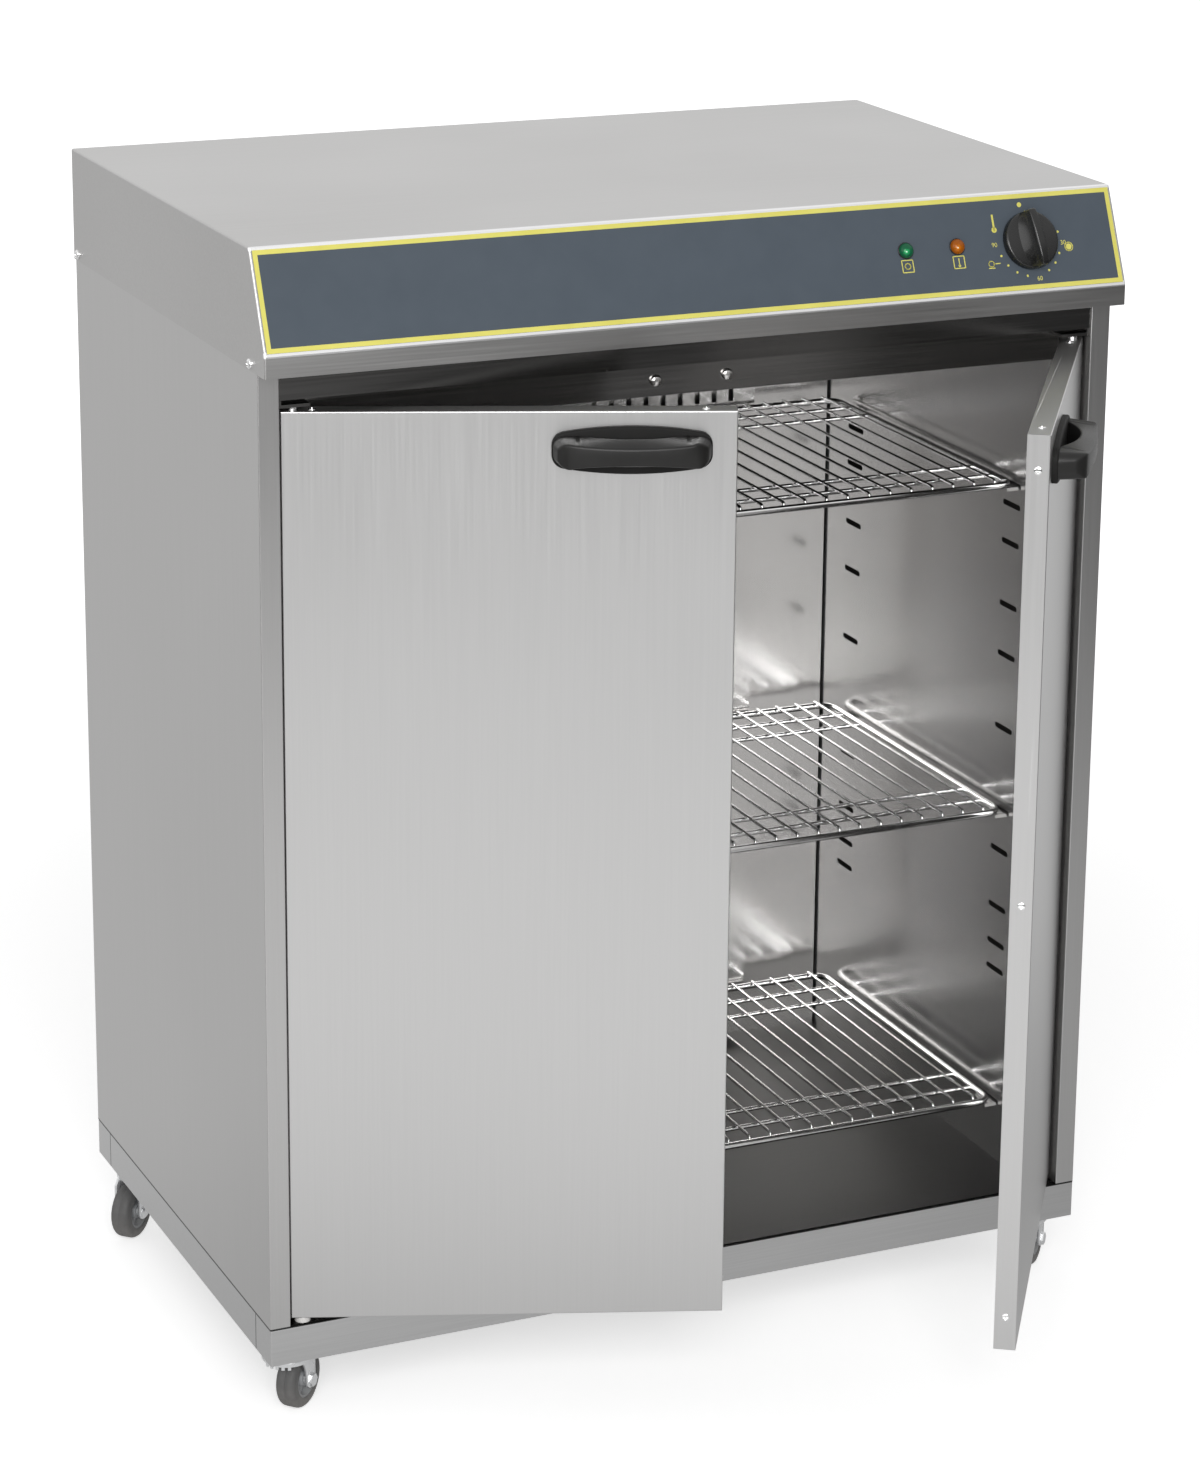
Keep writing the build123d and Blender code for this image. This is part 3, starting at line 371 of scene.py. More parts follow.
class Finish:
    """A finish that makes its material once and then hands it out."""

    name: str

    @cache
    def material(self) -> bpy.types.Material:
        """The finish's material, made on the first call.

        Returns:
            The material, with the finish's nodes on its shader.
        """
        fresh = bpy.data.materials.new(self.name)
        fresh.use_nodes = True
        graph = Graph(fresh.node_tree)
        graph.join(fresh.node_tree.nodes["Principled BSDF"], self.inputs(graph))
        return fresh

    def inputs(self, graph: Graph) -> dict[str, Feed]:
        """What goes into the shader, by the names of its sockets."""
        raise NotImplementedError


@dataclass(frozen=True)
class BrushedSteel(Finish):
    """Stainless sheet with a brushed grain."""

    name: str
    grain: Grain
    dark: Colour
    light: Colour
    smooth: float
    rough: float
    relief: float = 0.018
    patch_scale: float = 3.0
    patch_share: float = 0.5
    gloss_span: Flat = (0.35, 0.65)
    metallic: float = 1.0
    seam_level: float = 0.0
    seam_wrap: float = 1.0
    seam_width: float = 0.0009
    seam_dark: Colour = grey(0.06)
    folds: tuple[Flat, ...] = ()
    fold_width: float = 0.0024
    fold_light: Colour = grey(0.95)

    def inputs(self, graph: Graph) -> dict[str, Feed]:
        """Streaks set the colour and a slight relief, patches the gloss, seams a dark line, and each fold a
        painted highlight line.

        Args:
            graph: the material's node tree.

        Returns:
            What goes into the shader, by the names of its sockets.
        """
        sizes = {"Stretch": self.grain.value, "Patch Scale": self.patch_scale}
        grain = graph.effect(Effects.brushed_grain(), sizes)
        streak = grain["Streak"]
        tone = graph.ramp(streak, self.dark, self.light)
        if self.seam_level:
            sizes = {"Level": self.seam_level, "Wrap": self.seam_wrap, "Width": self.seam_width}
            tone = graph.mix(graph.effect(Effects.seam_shade(), sizes)["Shade"], tone, self.seam_dark)
        # Each fold gets a painted highlight: a pale line mixed into the colour.
        for fold in self.folds:
            sizes = {"Fold": (0.0, *fold), "Width": self.fold_width}
            tone = graph.mix(graph.effect(Effects.fold_shine(), sizes)["Shine"], tone, self.fold_light)
        patch = graph.calc("MULTIPLY", grain["Patch"], self.patch_share)
        both = graph.calc("MULTIPLY_ADD", streak, 1 - self.patch_share, patch)
        return {
            "Base Color": tone,
            "Roughness": graph.remap(both, *self.gloss_span, self.smooth, self.rough),
            "Normal": graph.bump(streak, self.relief),
            "Metallic": self.metallic,
        }


@dataclass(frozen=True)
class PlatedMetal(Finish):
    """Plated wire, castor steel or screws: bright metal with faint clouds and some dust."""

    name: str
    dark: Colour
    light: Colour
    smooth: float
    rough: float
    cloud_scale: float = 90.0
    cloud_span: Flat = (0.3, 0.7)
    skin_scale: float = 900.0
    relief: float = 0.04
    dust: Colour = grey(0.18, 0.1)
    dust_reach: float = 0.0001
    dust_scale: float = 260.0
    dust_dulling: float = 0.3
    metallic: float = 1.0

    def inputs(self, graph: Graph) -> dict[str, Feed]:
        """Clouds vary the colour and the gloss, and dust dulls what is near the floor.

        Args:
            graph: the material's node tree.

        Returns:
            What goes into the shader, by the names of its sockets.
        """
        sizes = {"Skin Scale": self.skin_scale, "Drift Scale": self.cloud_scale}
        skin = graph.effect(Effects.moulded_skin(), sizes)
        sizes = {"Reach": self.dust_reach, "Speck Scale": self.dust_scale}
        dust = graph.effect(Effects.floor_dust(), sizes)["Dust"]
        gloss = graph.remap(skin["Drift"], *self.cloud_span, self.smooth, self.rough)
        return {
            "Base Color": graph.mix(dust, graph.ramp(skin["Drift"], self.dark, self.light), self.dust),
            "Roughness": graph.calc("MULTIPLY_ADD", dust, self.dust_dulling, gloss),
            "Normal": graph.bump(skin["Skin"], self.relief),
            "Metallic": self.metallic,
        }


@dataclass(frozen=True)
class Moulding(Finish):
    """Moulded plastic or rubber with a fine skin, a drift of tone and dust near the floor."""

    name: str
    dark: Colour
    light: Colour
    smooth: float
    rough: float
    skin_scale: float = 1400.0
    relief: float = 0.12
    skin_span: Flat = (0.3, 0.7)
    drift_scale: float = 45.0
    dust: Colour = grey(0.3, 0.06)
    dust_reach: float = 0.0001
    dust_scale: float = 180.0
    coat: float = 0.0
    coat_rough: float = 0.08
    specular: float = 0.5

    def inputs(self, graph: Graph) -> dict[str, Feed]:
        """The skin gives the relief, the drift the tone, and dust a pale film.

        Args:
            graph: the material's node tree.

        Returns:
            What goes into the shader, by the names of its sockets.
        """
        sizes = {"Skin Scale": self.skin_scale, "Drift Scale": self.drift_scale}
        skin = graph.effect(Effects.moulded_skin(), sizes)
        sizes = {"Reach": self.dust_reach, "Speck Scale": self.dust_scale}
        dust = graph.effect(Effects.floor_dust(), sizes)["Dust"]
        return {
            "Base Color": graph.mix(dust, graph.ramp(skin["Drift"], self.dark, self.light), self.dust),
            "Roughness": graph.remap(skin["Skin"], *self.skin_span, self.smooth, self.rough),
            "Normal": graph.bump(skin["Skin"], self.relief),
            "Specular IOR Level": self.specular,
            "Coat Weight": self.coat,
            "Coat Roughness": self.coat_rough,
        }


@dataclass(frozen=True)
class LampLens(Finish):
    """Clear coloured lens over a small bulb, with a painted glow round the bulb point and a painted glint.
    """

    name: str
    deep: Colour
    bright: Colour
    glint: Colour
    bulb: Point = (0.0, 0.0, 0.0)
    bulb_radius: float = 0.0042
    glint_radius: float = 0.0011
    glint_core: float = 0.6
    glow_span: Flat = (0.2, 1.1)
    facet_scale: float = 520.0
    facet_share: float = 0.35
    emission: float = 0.10
    rough: float = 0.16
    specular: float = 0.25

    def inputs(self, graph: Graph) -> dict[str, Feed]:
        """Painted glow: deep at the rim and lighter round the bulb point, with a painted glint, a faint
        emission though the lamp is unlit, and facets that break it up.

        Args:
            graph: the material's node tree.

        Returns:
            What goes into the shader, by the names of its sockets.
        """
        place = graph.place()
        away = graph.vector("DISTANCE", place, self.bulb)["Value"]
        pattern = {"Vector": place, "Scale": self.facet_scale}
        facets = graph.add("ShaderNodeTexVoronoi", pattern).outputs["Distance"]
        reach = graph.calc("DIVIDE", away, self.bulb_radius)
        share = graph.calc("MULTIPLY_ADD", facets, self.facet_share, reach)
        glow = graph.ramp(share, self.bright, self.deep, *self.glow_span)
        # Painted glint: a pale spot mixed into the colour at the bulb point.
        painted_glint_mask = graph.remap(away, self.glint_radius * self.glint_core, self.glint_radius, 1.0, 0.0)
        tone = graph.mix(painted_glint_mask, glow, self.glint)
        return {
            "Base Color": tone,
            # The unlit lens glows faintly: painted glow.
            "Emission Color": tone,
            "Emission Strength": self.emission,
            "Roughness": self.rough,
            "Specular IOR Level": self.specular,
        }


@dataclass(frozen=True)
class MineralWool(Finish):
    """Matted mineral fibre."""

    name: str
    dark: Colour
    light: Colour
    fibre_scale: float = 380.0
    relief: float = 0.7
    depth: float = 0.002
    rough: float = 0.95

    def inputs(self, graph: Graph) -> dict[str, Feed]:
        """A fine deep noise stands for the matted fibres.

        Args:
            graph: the material's node tree.

        Returns:
            What goes into the shader, by the names of its sockets.
        """
        fibre = graph.noise(graph.place(), self.fibre_scale, detail=6.0, roughness=0.7)
        return {
            "Base Color": graph.ramp(fibre, self.dark, self.light),
            "Normal": graph.bump(fibre, self.relief, self.depth),
            "Roughness": self.rough,
        }


def steel(
    name: str, grain: Grain, dark: float, light: float, warmth: float, *rest: float, **more: Feed
) -> BrushedSteel:
    """A brushed steel between two greys of one warmth."""
    return BrushedSteel(name, grain, grey(dark, warmth), grey(light, warmth), *rest, **more)


def plated(name: str, dark: float, light: float, warmth: float, *rest: float, **more: Feed) -> PlatedMetal:
    """A plated metal between two greys of one warmth."""
    return PlatedMetal(name, grey(dark, warmth), grey(light, warmth), *rest, **more)


def moulded(name: str, dark: float, light: float, warmth: float, *rest: float, **more: Feed) -> Moulding:
    """A moulding between two greys of one warmth."""
    return Moulding(name, grey(dark, warmth), grey(light, warmth), *rest, **more)


# Where sheets meet and where the cap is folded, in metres; the cap's folds get a painted highlight.
PLINTH_SEAM = 0.096
PLINTH_LINE = {"seam_level": PLINTH_SEAM, "seam_wrap": 0.1978, "seam_width": 0.0007}
CAP_FOLDS = ((-0.2545, 0.9082), (-0.2215, 0.9848))

# Each finish gives its darkest and lightest grey, their warmth, and its least and most roughness. After
# these a steel has its relief, a plated metal the scale of its clouds, and a moulding that of its skin.
OUTER_STEEL = steel(
    "brushed_panel_steel", Grain.UPRIGHT, 0.565, 0.590, 0.008, 0.32, 0.36, 0.010, seam_level=PLINTH_SEAM
)
CAP_STEEL = steel("cap_steel", Grain.ACROSS, 0.51, 0.57, 0.01, 0.30, 0.38, folds=CAP_FOLDS)
# Painted shade: the header strip under the cap's lip and the pivot brackets get a dark copy of the steel,
# standing in for the shade there.
PAINTED_SHADE_HEADER_STEEL = steel("header_steel", Grain.ACROSS, 0.16, 0.19, 0.02, 0.16, 0.24, 0.01)
PLINTH_STEEL = steel("plinth_steel", Grain.ACROSS, 0.58, 0.63, 0.0, 0.32, 0.38, 0.015, **PLINTH_LINE)
DOOR_STEEL = steel("brushed_door_steel", Grain.UPRIGHT, 0.638, 0.655, 0.005, 0.30, 0.34, 0.008)
CAVITY_STEEL = steel(
    "satin_cavity_steel", Grain.UPRIGHT, 0.74, 0.77, 0.012, 0.19, 0.22, 0.0004, metallic=0.88
)
STOP_STEEL = steel("stop_rail_steel", Grain.ACROSS, 0.22, 0.27, 0.02, 0.18, 0.26, 0.01)
# Painted shade: the cavity's ceiling and floor are the cavity steel made near black, standing in for the
# shade at the top and bottom of the cavity.
PAINTED_SHADE_CEILING_STEEL = steel("cavity_ceiling_steel", Grain.ACROSS, 0.045, 0.055, 0.02, 0.34, 0.40, 0.002)
PAINTED_SHADE_FLOOR_STEEL = steel("cavity_floor_steel", Grain.ACROSS, 0.036, 0.042, 0.02, 0.34, 0.40, 0.002)
BRIGHT_WIRE = plated("chromed_wire", 0.80, 0.88, 0.0, 0.04, 0.08)
ZINC = plated("zinced_pressing", 0.80, 0.92, -0.01, 0.22, 0.36, 60.0, dust_reach=0.02, metallic=0.6)
SCREW_STEEL = plated("bright_screw_steel", 0.80, 0.92, 0.0, 0.12, 0.22, 200.0)
CATCH_STEEL = plated("catch_steel", 0.66, 0.80, 0.02, 0.18, 0.28, 200.0)
HEATER_SHEATH = PlatedMetal("heater_tube_sheath", grey(0.10, 0.03), grey(0.22, 0.05), 0.45, 0.65, 30.0)
# Painted shade: the wool is made near black so that the slots in the cavity liner read dark.
PAINTED_SHADE_WOOL = MineralWool("faced_mineral_wool", (0.012, 0.011, 0.009, 1.0), (0.040, 0.037, 0.032, 1.0))
HANDLE_BLACK = moulded("handle_black", 0.014, 0.019, 0.03, 0.32, 0.42, relief=0.06, specular=0.32)
# Painted shade: a darker, rougher copy of the handle's black for its plate and the bar's back, standing in
# for the shade behind the bar.
PAINTED_SHADE_HANDLE = moulded("handle_hollow", 0.012, 0.016, 0.03, 0.55, 0.65, specular=0.16)
KNOB_BLACK = moulded("knob_black", 0.008, 0.012, 0.0, 0.24, 0.32, relief=0.06, coat=0.3, specular=0.40)
GLAND_BLACK = moulded("gland_black", 0.016, 0.026, 0.0, 0.40, 0.55)
NYLON = moulded("moulded_nylon", 0.72, 0.82, 0.02, 0.35, 0.50)
CORE_GREY = moulded("castor_core_grey", 0.30, 0.40, -0.05, 0.34, 0.48, dust_reach=0.05)
TYRE_GREY = moulded("castor_tyre_grey", 0.105, 0.145, 0.01, 0.50, 0.66, 700.0, 0.25, dust_reach=0.03)
FILM_SLATE = Moulding(
    "film_slate",
    dark=(0.092, 0.112, 0.136, 1.0),
    light=(0.098, 0.119, 0.144, 1.0),
    smooth=0.44,
    rough=0.50,
    skin_scale=2600.0,
    relief=0.03,
    specular=0.12,
)
FILM_YELLOW = Moulding(
    "film_yellow",
    dark=(0.78, 0.72, 0.15, 1.0),
    light=(0.84, 0.78, 0.18, 1.0),
    smooth=0.34,
    rough=0.44,
    skin_scale=2600.0,
    relief=0.05,
)
GREEN_LENS = LampLens(
    "green_lamp_lens",
    deep=(0.006, 0.110, 0.045, 1.0),
    bright=(0.028, 0.52, 0.155, 1.0),
    glint=(0.72, 0.92, 0.80, 1.0),
)
ORANGE_LENS = LampLens(
    "orange_lamp_lens",
    deep=(0.34, 0.085, 0.001, 1.0),
    bright=(0.72, 0.21, 0.003, 1.0),
    glint=(0.98, 0.86, 0.62, 1.0),
)


def shift(x: float = 0.0, y: float = 0.0, z: float = 0.0) -> Matrix:
    """A matrix that moves by the given lengths."""
    return Matrix.Translation((x, y, z))


def turned(degrees: float, axis: str | Vector) -> Matrix:
    """A matrix that turns by an angle round an axis."""
    return Matrix.Rotation(math.radians(degrees), 4, axis)


def quarter_arc(middle: Flat, wide: float, tall: float, steps: int) -> list[Flat]:
    """Points along a quarter of an ellipse, from its side to its top, given half its width and height."""
    turns = [QUARTER * i / steps for i in range(steps + 1)]
    return [(middle[0] + wide * math.cos(turn), middle[1] + tall * math.sin(turn)) for turn in turns]


def ring_points(middle: Flat, radius: float, count: int) -> list[Flat]:
    """Points spread evenly round a circle."""
    turns = [math.tau * i / count for i in range(count)]
    return [(middle[0] + radius * math.cos(turn), middle[1] + radius * math.sin(turn)) for turn in turns]


def arc_height(x: float, half: float, end: float, middle: float) -> float:
    """Height of a circular arc over a point between its ends.

    Args:
        x: the point, measured from the arc's middle.
        half: half the arc's span.
        end: the arc's height at its ends.
        middle: its height in the middle.

    Returns:
        The arc's height at the point.
    """
    rise = middle - end
    radius = (half * half + rise * rise) / (2 * rise)
    return middle - radius + math.copysign(math.sqrt(radius * radius - x * x), radius)


class Shaper:
    """A mesh in the making, with the bench operations that the pieces need."""

    def __init__(self) -> None:
        """Starts with nothing on the bench."""
        self.bm = bmesh.new()

    @staticmethod
    def verts_of(geometry: list) -> Verts:
        """The vertices among some geometry."""
        return [item for item in geometry if isinstance(item, bmesh.types.BMVert)]

    @staticmethod
    def edges_of(geometry: list) -> Edges:
        """The edges among some geometry."""
        return [item for item in geometry if isinstance(item, bmesh.types.BMEdge)]

    def since(self, before: set[bmesh.types.BMVert]) -> Verts:
        """The vertices that have come since a set of them was taken."""
        return [vert for vert in self.bm.verts if vert not in before]

    def turn(self, profile: list[Flat], steps: int) -> Verts:
        """Turns a profile on the lathe, about local Z.

        Args:
            profile: radius and height of each corner, from the axis round to the axis or closed.
            steps: how many faces go round.

        Returns:
            The vertices of the turned shape.
        """
        before = set(self.bm.verts)
        corners = [self.bm.verts.new((radius, 0.0, height)) for radius, height in profile]
        edges = [self.bm.edges.new(pair) for pair in zip(corners, corners[1:])]
        bmesh.ops.spin(
            self.bm,
            geom=corners + edges,
            cent=(0, 0, 0),
            axis=(0, 0, 1),
            angle=math.tau,
            steps=steps,
            use_merge=True,
        )
        bmesh.ops.remove_doubles(self.bm, verts=self.since(before), dist=WELD_REACH)
        return self.since(before)

    def plate(self, outline: list[Flat], thickness: float) -> Verts:
        """Cuts a flat outline and gives it a thickness along local Z.

        Args:
            outline: the corners in X and Y, in order.
            thickness: how far the plate reaches above Z = 0.

        Returns:
            The vertices of the plate.
        """
        corners = [self.bm.verts.new((x, y, 0.0)) for x, y in outline]
        face = self.bm.faces.new(corners)
        made = bmesh.ops.extrude_face_region(self.bm, geom=[face], use_keep_orig=True)
        raised = self.verts_of(made["geom"])
        bmesh.ops.translate(self.bm, verts=raised, vec=(0, 0, thickness))
        return corners + raised

    def block(self, size: Point, place: Matrix = IN_PLACE) -> Verts:
        """A block with its middle at a place.

        Args:
            size: its lengths along the place's axes.
            place: where it goes.

        Returns:
            The vertices of the block.
        """
        verts = bmesh.ops.create_cube(self.bm, size=1.0)["verts"]
        self.move(verts, place @ Matrix.Diagonal((*size, 1.0)))
        return verts

    def copy(self, mesh: bpy.types.Mesh, place: Matrix) -> None:
        """Sets a copy of a mesh at a place.

        Args:
            mesh: the mesh that is copied.
            place: where the copy goes.
        """
        before = set(self.bm.verts)
        self.bm.from_mesh(mesh)
        self.move(self.since(before), place)

    def move(self, verts: Verts, matrix: Matrix) -> None:
        """Moves some vertices by a matrix."""
        bmesh.ops.transform(self.bm, matrix=matrix, verts=verts)

    def slice(self, verts: Verts, cuts: list[tuple[Point, Point]]) -> Verts:
        """Cuts a shape across by planes, one after the other, and keeps all of it.

        Args:
            verts: the shape's vertices.
            cuts: a point and a direction for each plane.

        Returns:
            The shape's vertices with those that the cuts made.
        """
        known = set(verts)
        for point, normal in cuts:
            faces = {face for vert in known for face in vert.link_faces}
            edges = {edge for vert in known for edge in vert.link_edges}
            shape = [*known, *edges, *faces]
            made = bmesh.ops.bisect_plane(self.bm, geom=shape, plane_co=point, plane_no=normal)
            known |= set(self.verts_of(made["geom_cut"]))
        return list(known)

    def round_edges(self, edges: Edges, radius: float, segments: int) -> None:
        """Rounds edges.

        Args:
            edges: the edges.
            radius: the radius that they get.
            segments: how many facets the rounding has.
        """
        bmesh.ops.bevel(
            self.bm,
            geom=edges,
            offset=radius,
            offset_type="OFFSET",
            segments=segments,
            profile=0.5,
            affect="EDGES",
            material=-1,
            clamp_overlap=True,
        )

    def sharp_edges(self, verts: Verts, degrees: float) -> Edges:
        """The edges among some vertices where two faces meet at more than an angle.

        Args:
            verts: the vertices that an edge may run between.
            degrees: the angle.

        Returns:
            The edges.
        """
        chosen = set(verts)
        limit = math.radians(degrees)
        self.bm.normal_update()
        inside = [edge for edge in self.bm.edges if chosen.issuperset(edge.verts)]
        return [edge for edge in inside if len(edge.link_faces) == 2 and edge.calc_face_angle(0.0) > limit]

    def finish(
        self, name: str, finishes: tuple[Finish, ...], place: Matrix = IN_PLACE, smooth: float = 40.0
    ) -> bpy.types.Object:
        """Takes the piece off the bench and sets it in place.

        Args:
            name: the piece's name.
            finishes: its finishes, in the order of its faces' material numbers.
            place: where its mesh goes in the frame.
            smooth: angle in degrees below which its facets are shaded as one.

        Returns:
            The finished object, at the origin.
        """
        bmesh.ops.transform(self.bm, matrix=place, verts=self.bm.verts)
        bmesh.ops.recalc_face_normals(self.bm, faces=self.bm.faces)
        mesh = bpy.data.meshes.new(name)
        self.bm.to_mesh(mesh)
        self.bm.free()
        mesh.shade_smooth()
        mesh.set_sharp_from_angle(angle=math.radians(smooth))
        for finish in finishes:
            mesh.materials.append(finish.material())
        piece = bpy.data.objects.new(name, mesh)
        bpy.context.scene.collection.objects.link(piece)
        return piece


class WireBender:
    """Draws round wire on a bench: a start, straight runs, bends and an end."""

    def __init__(self, shaper: Shaper, radius: float, sides: int) -> None:
        """Takes the bench and the wire.

        Args:
            shaper: the bench.
            radius: the wire's radius.
            sides: how many facets go round it.
        """
        self.bm = shaper.bm
        self.radius = radius
        self.sides = sides
        self.first: Edges = []
        self.ring: Edges = []
        self.point = Vector()
        self.toward = Vector((1, 0, 0))

    def start(self, point: Point, toward: Point) -> "WireBender":
        """Starts a wire.

        Args:
            point: where its middle line begins.
            toward: the direction that it runs in.

        Returns:
            The bender itself, for the first run.
        """
        self.point = Vector(point)
        self.toward = Vector(toward).normalized()
        place = Matrix.Translation(self.point) @ self.toward.to_track_quat("Z", "Y").to_matrix().to_4x4()
        round_end = {"radius": self.radius, "segments": self.sides, "matrix": place}
        made = bmesh.ops.create_circle(self.bm, cap_ends=False, **round_end)
        self.ring = list({edge for vert in made["verts"] for edge in vert.link_edges})
        self.first = list(self.ring)
        return self

    def straight(self, length: float) -> "WireBender":
        """Runs straight on.

        Args:
            length: how far it runs.

        Returns:
            The bender itself, for the next run.
        """
        made = bmesh.ops.extrude_edge_only(self.bm, edges=self.ring)["geom"]
        verts = set(Shaper.verts_of(made))
        bmesh.ops.translate(self.bm, verts=list(verts), vec=self.toward * length)
        self.ring = [edge for edge in Shaper.edges_of(made) if set(edge.verts) <= verts]
        self.point = self.point + self.toward * length
        return self

    def bend(self, radius: float, into: Point, steps: int) -> "WireBender":
        """Bends the run square into a direction.

        Args:
            radius: bend radius of the wire's middle line.
            into: the direction that the wire bends into.
            steps: how many rings the bend has.

        Returns:
            The bender itself, for the next run.
        """
        inward = Vector(into).normalized()
        axis = self.toward.cross(inward)
        centre = self.point + inward * radius
        made = bmesh.ops.spin(
            self.bm, geom=self.ring, cent=centre, axis=axis, angle=QUARTER, steps=steps, use_merge=False
        )
        self.ring = Shaper.edges_of(made["geom_last"])
        quarter = Matrix.Rotation(QUARTER, 4, axis)
        self.point = centre + quarter @ (self.point - centre)
        self.toward = quarter @ self.toward
        return self

    def end(self) -> None:
        """Cuts the wire off and closes both its ends."""
        for ring in (self.first, self.ring):
            bmesh.ops.edgeloop_fill(self.bm, edges=ring)

    def join(self) -> None:
        """Welds the wire's end to its start, which it has come back to."""
        verts = {vert for edge in self.first + self.ring for vert in edge.verts}
        bmesh.ops.remove_doubles(self.bm, verts=list(verts), dist=self.radius / 10)


def settle(piece: bpy.types.Object, body: str, slot: str, *nodes: str) -> None:
    """Lets a piece ride on a body and reports it.

    Args:
        piece: the piece.
        body: the body that it rides on.
        slot: the name of its material slot; not used.
        nodes: the nodes that it stands for.
    """
    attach(piece, body)
    if nodes:
        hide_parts(*nodes)
    LOG.info("%s on %s, %d faces", piece.name, body, len(piece.data.polygons))


class Frame:
    """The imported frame, with what the sub-assemblies read from it."""

    def __init__(self) -> None:
        """Loads the frame and keeps its box."""
        self.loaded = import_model()
        self.low, self.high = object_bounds()
        self.joints = {joint["name"]: joint for joint in self.loaded["joints"]}

    def dress(self, finish: Finish, *nodes: str) -> None:
        """Gives nodes a finish in place of the material that they came with.

        Args:
            finish: the finish.
            nodes: the nodes' names.
        """
        for node in nodes:
            mesh = self.loaded["nodes"][node].data
            mesh.materials.clear()
            mesh.materials.append(finish.material())
            LOG.info("%s dressed in %s", node, finish.name)

    def joint_place(self, name: str) -> Vector:
        """Where a joint stands."""
        return Vector(self.joints[name]["pos_m"])

    def box_in(self, node: str, matrix: Matrix) -> tuple[Vector, Vector]:
        """A node's box, measured in a turned frame of its own.

        Args:
            node: the node's name.
            matrix: the turned frame.

        Returns:
            The lowest and the highest corner.
        """
        back = matrix.inverted()
        points = [back @ vert.co for vert in self.loaded["nodes"][node].data.vertices]
        axes = list(zip(*points))
        return Vector([min(axis) for axis in axes]), Vector([max(axis) for axis in axes])


@dataclass(frozen=True)
class ScrewHead:
    """A domed screw head with a cross recess, made once and set in many places."""

    radius: float = 0.0032
    height: float = 0.0010
    rim_share: float = 0.3
    slot_length: float = 0.0034
    slot_width: float = 0.0008
    slot_depth: float = 0.0007
    rings: int = 5
    steps: int = 24

    def mesh(self) -> bpy.types.Mesh:
        """Makes the head with its seat at Z = 0.

        Returns:
            The head's mesh.
        """
        head = Shaper()
        rim = self.height * self.rim_share
        dome = quarter_arc((0.0, rim), self.radius, self.height - rim, self.rings)
        head.turn([(0.0, 0.0), (self.radius, 0.0), *dome], self.steps)
        cutter = Shaper()
        size = (self.slot_length, self.slot_width, 2 * self.slot_depth)
        for degrees in (0, 90):
            cutter.block(size, shift(z=self.height) @ turned(degrees, "Z"))
        whole = head.finish("screw_head_blank", (SCREW_STEEL,))
        cross = cutter.finish("screw_cross_cutter", ())
        cut = whole.modifiers.new("recess", "BOOLEAN")
        cut.operation = "DIFFERENCE"
        cut.solver = "EXACT"
        cut.use_self = True
        cut.object = cross
        graph = bpy.context.evaluated_depsgraph_get()
        made = bpy.data.meshes.new_from_object(whole.evaluated_get(graph))
        for blank in (whole, cross):
            bpy.data.objects.remove(blank)
        return made

    def set_at(self, name: str, places: list[Matrix]) -> bpy.types.Object:
        """Sets heads at places whose local Z points out of the sheet.

        Args:
            name: the piece's name.
            places: one matrix for each screw.

        Returns:
            All the heads as one piece.
        """
        head = self.mesh()
        row = Shaper()
        for place in places:
            row.copy(head, place)
        return row.finish(name, (SCREW_STEEL,), smooth=30.0)


